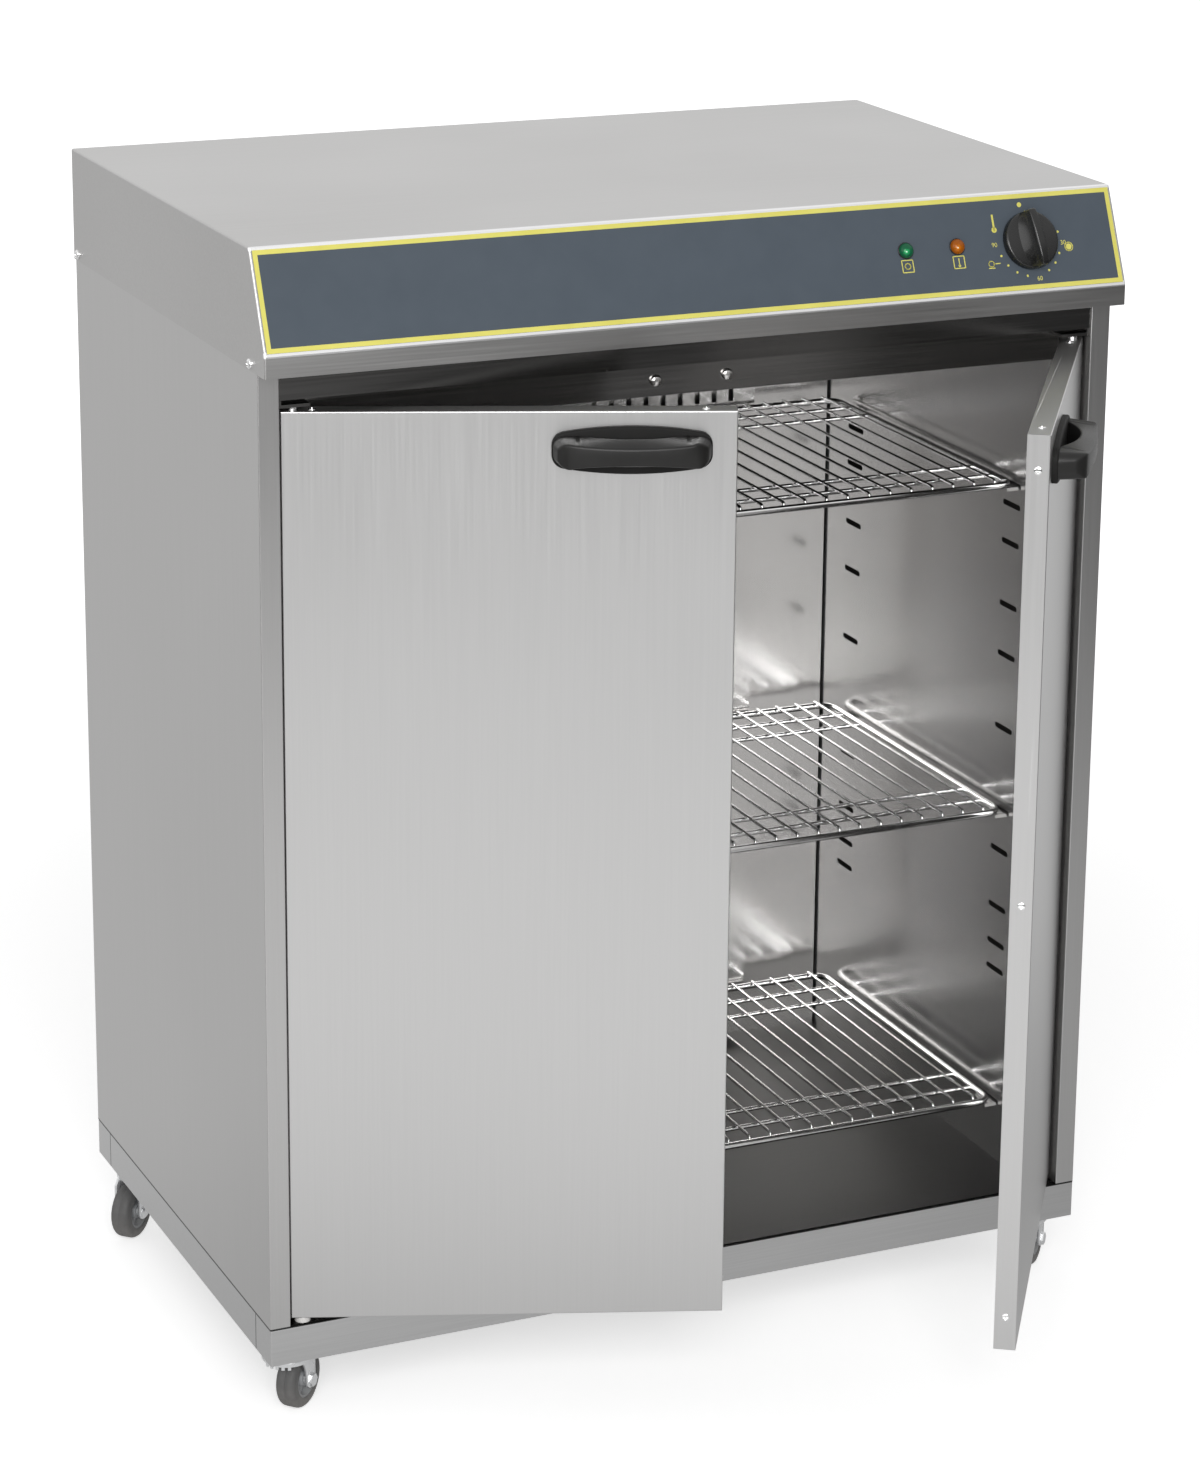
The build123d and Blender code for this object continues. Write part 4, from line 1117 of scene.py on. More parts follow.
@dataclass
class CabinetBody:
    """The folded steel body: side panels, cap, plinth, header, liner and what is fixed to them."""

    frame: Frame
    catch_rim: float = 0.35
    catch_rings: int = 6
    catch_steps: int = 32
    cap_screw: ScrewHead = ScrewHead(0.0042, 0.0026, slot_length=0.0046, slot_width=0.0011)
    cap_screw_rise: float = 0.0055
    cap_screw_front: float = 0.012
    cap_screw_rear: float = 0.011
    rear_screw: ScrewHead = ScrewHead()
    rear_screw_inset: float = 0.014
    rear_screw_ends: Flat = (0.035, 0.060)
    rear_screw_rows: int = 4

    def build(self) -> None:
        """Dresses the sheets and sets the catches and the screws."""
        frame = self.frame
        frame.dress(OUTER_STEEL, "left_side_panel", "right_side_panel", "rear_panel")
        frame.dress(CAP_STEEL, "top_cap")
        frame.dress(PLINTH_STEEL, "plinth_front_rail", "plinth_rear_rail", "plinth_side_rails")
        frame.dress(CAVITY_STEEL, "inner_left_wall", "inner_right_wall", "inner_back_wall")
        frame.dress(CAVITY_STEEL, "rear_duct_cover", "shelf_clips", "heater_clips")
        frame.dress(STOP_STEEL, "door_stop_rail")
        # Painted shade on the cavity's ceiling and floor.
        frame.dress(PAINTED_SHADE_CEILING_STEEL, "inner_ceiling")
        frame.dress(PAINTED_SHADE_FLOOR_STEEL, "cavity_floor")
        # Painted shade on the insulation behind the slots.
        frame.dress(PAINTED_SHADE_WOOL, "insulation_slabs")
        frame.dress(HEATER_SHEATH, "heating_element")
        # Painted shade on the header strip and the pivot brackets.
        frame.dress(PAINTED_SHADE_HEADER_STEEL, "header_strip", "pivot_brackets")
        frame.dress(ZINC, "castor_plates")
        frame.dress(SCREW_STEEL, "pivot_pins", "knob_spindle")
        frame.dress(NYLON, "pivot_bushes", "terminal_block")
        frame.dress(GLAND_BLACK, "thermostat_body", "cable_gland")
        self._catches()
        self._cap_screws()
        self._rear_screws()

    def _catches(self) -> None:
        """Two domed catches on the stop rail."""
        low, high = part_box("catch_magnets")
        radius = (high.z - low.z) / 2
        length = high.y - low.y
        rim = length * self.catch_rim
        dome = quarter_arc((0.0, rim), radius, length - rim, self.catch_rings)
        bench = Shaper()
        for x in (low.x + radius, high.x - radius):
            made = bench.turn([(0.0, 0.0), (radius, 0.0), *dome], self.catch_steps)
            bench.move(made, shift(x, high.y, (low.z + high.z) / 2) @ turned(90, "X"))
        settle(bench.finish("door_catch_domes", (CATCH_STEEL,)), "cabinet", "magnet_grey", "catch_magnets")

    def _cap_screws(self) -> None:
        """Two screws through each side of the cap."""
        low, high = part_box("top_cap")
        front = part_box("left_side_panel")[0].y + self.cap_screw_front
        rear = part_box("rear_panel")[1].y - self.cap_screw_rear
        places = []
        for side, x in ((Side.LEFT, low.x), (Side.RIGHT, high.x)):
            for y in (front, rear):
                places.append(shift(x, y, low.z + self.cap_screw_rise) @ turned(side.value * 90, "Y"))
        heads = self.cap_screw.set_at("cap_screw_heads", places)
        settle(heads, "cabinet", "screw_steel", "cap_screws")

    def _rear_screws(self) -> None:
        """Screws that hold the rear panel along its two upright edges."""
        low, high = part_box("rear_panel")
        bottom = low.z + self.rear_screw_ends[0]
        top = high.z - self.rear_screw_ends[1]
        places = []
        for x in (low.x + self.rear_screw_inset, high.x - self.rear_screw_inset):
            for row in range(self.rear_screw_rows):
                z = bottom + (top - bottom) * row / (self.rear_screw_rows - 1)
                places.append(shift(x, high.y, z) @ turned(-90, "X"))
        settle(self.rear_screw.set_at("rear_panel_screw_heads", places), "cabinet", "screw_steel")


@dataclass
class DoorLeaf:
    """One door: brushed skin, liner, edge screws and a bow handle."""

    frame: Frame
    side: Side
    screw: ScrewHead = ScrewHead()
    screw_end: float = 0.028
    screw_side: float = 0.024
    plate_thickness: float = 0.005
    end_height: float = 0.026
    end_depth: float = 0.025
    grip_depth: float = 0.013
    grip_end: float = 0.0225
    front_crest: float = 0.0072
    front_keel: float = 0.0062
    back_end: float = 0.0236
    back_crest: float = 0.0126
    back_keel: float = 0.0100
    leg: float = 0.017
    taper: float = 0.005
    sunk_share: float = 0.1
    seat_clearance: float = 1e-4
    slices: int = 22
    corner: float = 0.009
    corner_segments: int = 8
    edge: float = 0.0018
    plate_segments: int = 3
    bar_segments: int = 4
    end_angle: float = 50.0
    plate_angle: float = 60.0
    bar_angle: float = 35.0
    rearward: float = 0.5

    def build(self) -> None:
        """Dresses the leaf's sheets and makes its screws and handle."""
        name = self.side.label
        self.frame.dress(DOOR_STEEL, f"{name}_door_skin")
        self.frame.dress(CAVITY_STEEL, f"{name}_door_liner")
        # The door's insulation takes the same near-black wool: painted shade.
        self.frame.dress(PAINTED_SHADE_WOOL, f"{name}_door_insulation")
        self.frame.dress(NYLON, f"{name}_door_pivot_blocks")
        self._screws()
        self._handle()

    def place(self) -> Matrix:
        """Works out how the closed door swings to where it stands.

        Returns:
            The matrix of the swing.
        """
        joint = self.frame.joints[f"{self.side.label}_door_swing"]
        hinge = Matrix.Translation(joint["pos_m"])
        return hinge @ turned(-joint["range_deg"][0], Vector(joint["axis"])) @ hinge.inverted()

    def _screws(self) -> None:
        """Three screws in the free edge and two each in the top and bottom edges."""
        place = self.place()
        name = self.side.label
        low, high = self.frame.box_in(f"{name}_door_skin", place)
        middle = (low + high) / 2
        sign = self.side.value
        free, hinge = (high.x, low.x) if self.side is Side.LEFT else (low.x, high.x)
        places = []
        for z in (low.z + self.screw_end, middle.z, high.z - self.screw_end):
            places.append(place @ shift(free, middle.y, z) @ turned(-sign * 90, "Y"))
        for x in (hinge - sign * self.screw_side, free + sign * self.screw_side):
            places.append(place @ shift(x, middle.y, high.z))
            places.append(place @ shift(x, middle.y, low.z) @ turned(180, "X"))
        heads = self.screw.set_at(f"{name}_door_screw_heads", places)
        settle(heads, f"{name}_door", "screw_steel", f"{name}_door_screws")

    def _handle(self) -> None:
        """Lens-shaped plate and a waisted bar that bows out from it."""
        place = self.place()
        name = self.side.label
        low, high = self.frame.box_in(f"{name}_door_handle", place)
        size = high - low
        seat = place @ shift((low.x + high.x) / 2, high.y, (low.z + high.z) / 2)
        handle = Shaper()
        self._plate(handle, size)
        hollow = set(handle.bm.faces)
        self._bar(handle, size)
        handle.bm.normal_update()
        # The plate and the bar's faces towards the door take the darker copy of the black: painted shade.
        for face in handle.bm.faces:
            face.material_index = int(face in hollow or face.normal.y > self.rearward)
        finishes = (HANDLE_BLACK, PAINTED_SHADE_HANDLE)
        piece = handle.finish(f"{name}_door_bow_handle", finishes, seat, smooth=50.0)
        settle(piece, f"{name}_door", "black_plastic", f"{name}_door_handle")

    def _sliced(self, bench: Shaper, length: float) -> Verts:
        """A bar along X, cut into even slices between its two legs.

        Args:
            bench: the bench that it is made on.
            length: the bar's length.

        Returns:
            The vertices of the bar.
        """
        span = length - 2 * self.leg
        cuts = [(((i / self.slices - 0.5) * span, 0, 0), (1, 0, 0)) for i in range(self.slices + 1)]
        return bench.slice(bench.block((length, 1.0, 1.0)), cuts)

    def _end_edges(self, bench: Shaper, verts: Verts, half: float) -> Edges:
        """The sharp edges that lie wholly at one of a bar's ends."""
        sharp = bench.sharp_edges(verts, self.end_angle)
        return [edge for edge in sharp if min(abs(vert.co.x) for vert in edge.verts) > half - NEAR]

    def _plate(self, bench: Shaper, size: Vector) -> None:
        """The lens-shaped plate that lies on the door.

        Args:
            bench: the bench that it is made on.
            size: the handle's length, depth and height.
        """
        half = size.x / 2
        verts = self._sliced(bench, size.x)
        for vert in verts:
            reach = arc_height(vert.co.x, half, self.end_height / 2, size.z / 2)
            vert.co.z = math.copysign(reach, vert.co.z)
            vert.co.y = 0.0 if vert.co.y > 0 else -self.plate_thickness
        ends = [
            edge
            for edge in self._end_edges(bench, verts, half)
            if abs(edge.verts[0].co.y - edge.verts[1].co.y) > self.plate_thickness / 2
        ]
        bench.round_edges(ends, self.corner, self.corner_segments)
        front = [
            edge
            for edge in bench.sharp_edges(list(bench.bm.verts), self.plate_angle)
            if max(vert.co.y for vert in edge.verts) < -self.plate_thickness + NEAR
        ]
        bench.round_edges(front, self.edge, self.plate_segments)

    def _bar(self, bench: Shaper, size: Vector) -> None:
        """The bar that bows out from the plate, tapers to its front and leaves a gap for the fingers.

        Args:
            bench: the bench that it is made on.
            size: the handle's length, depth and height.
        """
        before = set(bench.bm.verts)
        half = size.x / 2
        inner = half - self.leg
        sunk = self.plate_thickness * self.sunk_share
        verts = self._sliced(bench, size.x)
        for vert in verts:
            x = vert.co.x
            upper = vert.co.z > 0
            if vert.co.y < 0:
                middle = self.front_crest if upper else self.front_keel
                reach = arc_height(x, half, self.grip_end / 2, middle)
                vert.co.y = -arc_height(x, half, self.end_depth, size.y)
                vert.co.x = math.copysign(min(abs(x), half - self.taper), x)
            else:
                middle = self.back_crest if upper else self.back_keel
                reach = arc_height(x, half, self.back_end / 2, middle)
                under = abs(x) < inner - NEAR
                vert.co.y = -arc_height(x, inner, sunk, size.y - self.grip_depth) if under else -sunk
            vert.co.z = math.copysign(reach, vert.co.z)
        ends = [
            edge
            for edge in self._end_edges(bench, verts, half - self.taper)
            if min(vert.co.y for vert in edge.verts) < -self.end_depth + NEAR
        ]
        bench.round_edges(ends, self.corner, self.corner_segments)
        bar = [vert for vert in bench.since(before) if vert.co.y < -sunk - self.seat_clearance]
        bench.round_edges(bench.sharp_edges(bar, self.bar_angle), self.edge, self.bar_segments)


@dataclass
class ControlPanel:
    """The sloping fascia: printed film, pilot lamps, dial marks and the thermostat knob."""

    frame: Frame
    film_thickness: float = 0.0005
    border: float = 0.0038
    print_thickness: float = 0.00008
    collar_radius: float = 0.0070
    collar_height: float = 0.0012
    collar_edge: float = 0.0004
    lens_radius: float = 0.0062
    lens_height: float = 0.0050
    lens_gap: float = 0.0001
    lens_rings: int = 7
    lens_steps: int = 40
    bulb_offset: Flat = (-0.0022, -0.0020)
    knob_radius: float = 0.024
    knob_skirt: float = 0.0070
    knob_height: float = 0.021
    knob_gap: float = 0.0010
    knob_edge: float = 0.0022
    knob_rings: int = 4
    knob_steps: int = 64
    grip_radius: float = 0.0236
    grip_foot: float = 0.7
    grip_slices: int = 18
    ridge_width: float = 0.0072
    ridge_waist: float = 0.2
    ridge_fall: float = 0.0030
    ridge_edge: float = 0.0012
    ridge_angle: float = 45.0
    ridge_segments: int = 4
    flank_reach: float = 0.0105
    flank_end: float = 0.98
    hollow_rise: float = 0.40
    hollow_reach: float = 0.30
    pointer_length: float = 0.0075
    pointer_width: float = 0.0011
    pointer_place: Flat = (0.0020, 0.0222)
    pointer_turn: float = -25.0
    zero_dot: float = 0.0021
    zero_radius: float = 0.0310
    zero_turn: float = -6.0
    dial_radius: float = 0.0292
    dial_dot: float = 0.0010
    dial_turns: tuple[float, ...] = (78, 114, 132, 150, 192, 211, 230, 249)
    dot_sides: int = 20
    numbers: tuple[tuple[str, float], ...] = (("30", 96), ("60", 171), ("90", 268))
    number_out: float = 0.0028
    number_height: float = 0.0052
    heat_place: Flat = (-0.030, 0.0175)
    heat_height: float = 0.0120
    heat_bulb: float = 0.2
    heat_stem: float = 0.14
    full_place: Flat = (0.0365, -0.0070)
    full_ring: float = 0.0036
    full_dot: float = 0.0026
    plate_place: Flat = (-0.0375, -0.0165)
    plate_ring: float = 0.0024
    plate_strokes: tuple[tuple[Flat, Flat], ...] = (
        ((-0.0400, -0.0200), (-0.0350, -0.0200)),
        ((-0.0335, -0.0165), (-0.0295, -0.0165)),
    )
    ring_strokes: int = 16
    icon_size: float = 0.0100
    icon_line: float = 0.0008
    icon_drop: float = 0.0128
    icon_ring: float = 0.0024
    icon_heat: float = 0.0058

    def build(self) -> None:
        """Makes the film, the lamps, the marks and the knob."""
        self._film()
        self._lamp("green_pilot_lamp", "green_lens", GREEN_LENS)
        self._lamp("orange_pilot_lamp", "orange_lens", ORANGE_LENS)
        self._marks()
        self._knob()

    def plane(self) -> Matrix:
        """The fascia's own frame: X to the right, Y up the slope, Z out of the film's seat.

        Returns:
            The frame as a matrix.
        """
        joint = self.frame.joints["thermostat_knob_turn"]
        normal = -Vector(joint["axis"])
        across = Vector((1, 0, 0))
        turn = Matrix((across, normal.cross(across), normal)).transposed().to_4x4()
        return shift(0.0, *joint["pos_m"][1:]) @ turn

    def knob_x(self) -> float:
        """Where the knob's axis stands along the fascia."""
        return self.frame.joint_place("thermostat_knob_turn").x

    def lamp_x(self, node: str) -> float:
        """Where a lamp stands along the fascia."""
        low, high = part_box(node)
        return (low.x + high.x) / 2

    def _film(self) -> None:
        """Slate film with a yellow border round its edge."""
        low, high = self.frame.box_in("control_decal", self.plane())
        film = Shaper()
        outline = [(low.x, low.y), (high.x, low.y), (high.x, high.y), (low.x, high.y)]
        film.plate(outline, self.film_thickness)
        film.bm.normal_update()
        top = max(film.bm.faces, key=lambda face: face.calc_center_median().z)
        inset = bmesh.ops.inset_region(film.bm, faces=[top], thickness=self.border, use_even_offset=True)
        for face in inset["faces"]:
            face.material_index = 1
        piece = film.finish("control_film", (FILM_SLATE, FILM_YELLOW), self.plane(), smooth=30.0)
        settle(piece, "cabinet", "panel_film", "control_decal")

    def _lamp(self, node: str, slot: str, lens: LampLens) -> None:
        """A domed lens in a thin dark collar.

        Args:
            node: the node that the lamp stands for.
            slot: the name of its material slot.
            lens: the finish of its lens.
        """
        base = self.film_thickness
        rim = base + self.collar_height
        lamp = Shaper()
        dome = quarter_arc((0.0, rim), self.lens_radius, self.lens_height, self.lens_rings)
        lamp.turn([(0.0, base), (self.lens_radius, base), *dome], self.lens_steps)
        lens_faces = set(lamp.bm.faces)
        inner = self.lens_radius + self.lens_gap
        outer = self.collar_radius
        edge = self.collar_edge
        wall = [(inner, base), (outer, base), (outer, rim - edge), (outer - edge, rim), (inner, rim)]
        lamp.turn([*wall, wall[0]], self.lens_steps)
        for face in lamp.bm.faces:
            face.material_index = int(face not in lens_faces)
        place = self.plane() @ shift(self.lamp_x(node))
        # Where the painted glow and glint sit on the lens, off its axis towards the lower left.
        bulb = place @ Vector((*self.bulb_offset, rim + self.lens_height))
        finishes = (replace(lens, bulb=tuple(bulb)), KNOB_BLACK)
        settle(lamp.finish(f"{node}_lens", finishes, place), "cabinet", slot, node)

    def _beside(self, place: Flat) -> Flat:
        """A point on the fascia that is given from the knob's axis."""
        return (self.knob_x() + place[0], place[1])

    def _around(self, degrees: float, reach: float) -> Flat:
        """A point round the knob, by its clockwise angle from the top."""
        turn = math.radians(degrees)
        return self._beside((reach * math.sin(turn), reach * math.cos(turn)))

    def _dot(self, bench: Shaper, place: Flat, radius: float) -> None:
        """A printed dot on the film.

        Args:
            bench: the bench that holds the print.
            place: the dot's middle.
            radius: its radius.
        """
        made = bmesh.ops.create_circle(bench.bm, cap_ends=True, radius=radius, segments=self.dot_sides)
        bench.move(made["verts"], shift(*place, self.film_thickness))
        faces = list({face for vert in made["verts"] for face in vert.link_faces})
        raised = bmesh.ops.extrude_face_region(bench.bm, geom=faces)["geom"]
        bmesh.ops.translate(bench.bm, verts=bench.verts_of(raised), vec=(0, 0, self.print_thickness))

    def _stroke(self, bench: Shaper, start: Flat, end: Flat, width: float) -> None:
        """A printed line on the film.

        Args:
            bench: the bench that holds the print.
            start: where the line begins.
            end: where it ends.
            width: its width.
        """
        run = Vector(end) - Vector(start)
        middle = (Vector(start) + Vector(end)) / 2
        lift = self.film_thickness + self.print_thickness / 2
        place = shift(middle.x, middle.y, lift) @ Matrix.Rotation(math.atan2(run.y, run.x), 4, "Z")
        bench.block((run.length + width, width, self.print_thickness), place)

    def _loop(self, bench: Shaper, points: list[Flat]) -> None:
        """Printed lines from point to point and back to the first."""
        for first, second in zip(points, points[1:] + points[:1]):
            self._stroke(bench, first, second, self.icon_line)

    def _ring(self, bench: Shaper, place: Flat, radius: float) -> None:
        """A printed ring made of short strokes."""
        self._loop(bench, ring_points(place, radius, self.ring_strokes))

    def _square(self, bench: Shaper, place: Flat) -> None:
        """A printed square under a lamp.

        Args:
            bench: the bench that holds the print.
            place: the square's middle.
        """
        half = self.icon_size / 2
        left, right = place[0] - half, place[0] + half
        bottom, top = place[1] - half, place[1] + half
        self._loop(bench, [(left, bottom), (right, bottom), (right, top), (left, top)])

    def _thermometer(self, bench: Shaper, place: Flat, height: float) -> None:
        """A bulb and stem that stand for heat.

        Args:
            bench: the bench that holds the print.
            place: the stem's middle.
            height: the stem's height.
        """
        x, y = place
        foot = (x, y - height / 2)
        self._dot(bench, foot, height * self.heat_bulb)
        self._stroke(bench, foot, (x, y + height / 2), height * self.heat_stem)

    def _number(self, bench: Shaper, text: str, place: Flat) -> None:
        """A printed number.

        Args:
            bench: the bench that holds the print.
            text: the number.
            place: its middle.
        """
        curve = bpy.data.curves.new("dial_number", "FONT")
        curve.body = text
        curve.size = self.number_height
        curve.align_x = "CENTER"
        curve.align_y = "CENTER"
        curve.extrude = self.print_thickness / 2
        holder = bpy.data.objects.new("dial_number", curve)
        mesh = bpy.data.meshes.new_from_object(holder)
        bench.copy(mesh, shift(*place, self.film_thickness + self.print_thickness / 2))
        bpy.data.objects.remove(holder)
        bpy.data.meshes.remove(mesh)

    def _marks(self) -> None:
        """Yellow dots, numbers and plain signs printed on the film."""
        bench = Shaper()
        self._dot(bench, self._around(self.zero_turn, self.zero_radius), self.zero_dot)
        for degrees in self.dial_turns:
            self._dot(bench, self._around(degrees, self.dial_radius), self.dial_dot)
        for text, degrees in self.numbers:
            self._number(bench, text, self._around(degrees, self.dial_radius + self.number_out))
        self._thermometer(bench, self._beside(self.heat_place), self.heat_height)
        self._ring(bench, self._beside(self.full_place), self.full_ring)
        self._dot(bench, self._beside(self.full_place), self.full_dot)
        self._ring(bench, self._beside(self.plate_place), self.plate_ring)
        for start, end in self.plate_strokes:
            self._stroke(bench, self._beside(start), self._beside(end), self.icon_line)
        on_sign = (self.lamp_x("green_pilot_lamp"), -self.icon_drop)
        heat_sign = (self.lamp_x("orange_pilot_lamp"), -self.icon_drop)
        self._square(bench, on_sign)
        self._ring(bench, on_sign, self.icon_ring)
        self._square(bench, heat_sign)
        self._thermometer(bench, heat_sign, self.icon_heat)
        piece = bench.finish("dial_print", (FILM_YELLOW,), self.plane(), smooth=30.0)
        settle(piece, "cabinet", "panel_film")

    def _knob(self) -> None:
        """Round skirt with a ridge grip across it and a yellow pointer line."""
        knob = Shaper()
        top = self.knob_skirt
        edge = self.knob_edge
        shoulder = quarter_arc((self.knob_radius - edge, top - edge), edge, edge, self.knob_rings)
        knob.turn([(0.0, 0.0), (self.knob_radius, 0.0), *shoulder, (0.0, top)], self.knob_steps)
        self._grip(knob)
        seat = shift(self.knob_x(), 0.0, self.film_thickness + self.knob_gap)
        place = self.plane() @ seat @ turned(-self.zero_turn, "Z")
        piece = knob.finish("thermostat_knob", (KNOB_BLACK,), place, smooth=35.0)
        settle(piece, "knob", "black_plastic", "control_knob")
        pointer = Shaper()
        size = (self.pointer_length, self.pointer_width, 2 * self.print_thickness)
        pointer.block(size, shift(*self.pointer_place, top) @ turned(self.pointer_turn, "Z"))
        piece = pointer.finish("knob_pointer_line", (FILM_YELLOW,), place, smooth=30.0)
        settle(piece, "knob", "panel_film")

    def _grip(self, bench: Shaper) -> None:
        """The ridge across the knob: narrow on top, with a hollow, eye-shaped flank on either side.

        Args:
            bench: the bench that holds the knob.
        """
        low = self.knob_skirt * self.grip_foot
        reach = self.grip_radius
        across = [(2 * i / self.grip_slices - 1) * reach for i in range(1, self.grip_slices)]
        cuts = [((0, y, 0), (0, 1, 0)) for y in across]
        ridge = bench.slice(bench.block((1.0, 2 * reach, 1.0)), [*cuts, ((0, 0, 0), (0, 0, 1))])
        for vert in ridge:
            share = abs(vert.co.y) / reach
            top = self.knob_height - self.ridge_fall * share**3
            narrow = self.ridge_width / 2 * (1 - self.ridge_waist * share * share)
            broad = self.ridge_width / 2 + self.flank_reach * math.sqrt(1 - self.flank_end * share * share)
            level = round(2 * vert.co.z)
            if level == 0:
                vert.co.z = low + self.hollow_rise * (top - low)
                width = narrow + self.hollow_reach * (broad - narrow)
            elif level > 0:
                vert.co.z = top
                width = narrow
            else:
                vert.co.z = low
                width = broad
            vert.co.x = math.copysign(width, vert.co.x)
        bench.round_edges(bench.sharp_edges(ridge, self.ridge_angle), self.ridge_edge, self.ridge_segments)


@dataclass
class WireShelf:
    """A welded wire shelf: a round frame, cross rods and wires whose front ends are turned down."""

    frame: Frame
    level: Level
    frame_radius: float = 0.0030
    frame_sides: int = 12
    corner_radius: float = 0.014
    corner_steps: int = 6
    cross_radius: float = 0.0020
    cross_sides: int = 10
    cross_spacing: float = 0.033
    wire_radius: float = 0.0014
    wire_sides: int = 8
    wire_pitch: float = 0.020
    turn_radius: float = 0.0030
    turn_steps: int = 4
    weld: float = 0.0004

    def build(self) -> None:
        """Bends and welds the shelf in the space of its node."""
        name = self.level.value
        low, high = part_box(f"{name}_wire_shelf")
        middle = low.z + self.frame_radius
        shelf = Shaper()
        for part in (self._rim, self._crosses, self._wires):
            part(shelf, low, high, middle)
        piece = shelf.finish(f"{name}_shelf_wirework", (BRIGHT_WIRE,), smooth=60.0)
        settle(piece, f"{name}_shelf", "bright_wire", f"{name}_wire_shelf")

    def _rim(self, bench: Shaper, low: Vector, high: Vector, z: float) -> None:
        """The frame: one rod bent round four corners and welded to itself.

        Args:
            bench: the bench that it is made on.
            low: the lowest corner of the shelf's box.
            high: its highest corner.
            z: the height of the rod's middle line.
        """
        radius = self.frame_radius
        corner = self.corner_radius
        wide = high.x - low.x - 2 * (radius + corner)
        deep = high.y - low.y - 2 * (radius + corner)
        start = (low.x + radius + corner, low.y + radius, z)
        rod = WireBender(bench, radius, self.frame_sides).start(start, (1, 0, 0))
        for length, into in ((wide, (0, 1, 0)), (deep, (-1, 0, 0)), (wide, (0, -1, 0)), (deep, (1, 0, 0))):
            rod.straight(length).bend(corner, into, self.corner_steps)
        rod.join()

    def _crosses(self, bench: Shaper, low: Vector, high: Vector, z: float) -> None:
        """Two cross rods near the front and two near the back.

        Args:
            bench: the bench that they are made on.
            low: the lowest corner of the shelf's box.
            high: its highest corner.
            z: the height of their middle lines.
        """
        radius = self.frame_radius
        length = high.x - low.x - 2 * radius
        for near, step in ((low.y + radius, self.cross_spacing), (high.y - radius, -self.cross_spacing)):
            for count in (1, 2):
                rod = WireBender(bench, self.cross_radius, self.cross_sides)
                rod.start((low.x + radius, near + count * step, z), (1, 0, 0)).straight(length).end()

    def _wires(self, bench: Shaper, low: Vector, high: Vector, z: float) -> None:
        """The wires that carry the plates, each turned down behind the front rod.

        Args:
            bench: the bench that they are made on.
            low: the lowest corner of the shelf's box.
            high: its highest corner.
            z: the height of the frame's middle line.
        """
        radius = self.frame_radius
        top = z + radius + self.wire_radius - self.weld
        front = low.y + 2 * radius + self.wire_radius
        back = high.y - radius
        half = (high.x - low.x) / 2 - radius
        count = int((2 * half - radius) / self.wire_pitch)
        run = back - front - self.turn_radius
        drop = top - self.turn_radius - (z - radius / 2)
        for i in range(count):
            x = (low.x + high.x) / 2 + (i - (count - 1) / 2) * self.wire_pitch
            wire = WireBender(bench, self.wire_radius, self.wire_sides).start((x, back, top), (0, -1, 0))
            wire.straight(run).bend(self.turn_radius, (0, 0, -1), self.turn_steps).straight(drop).end()


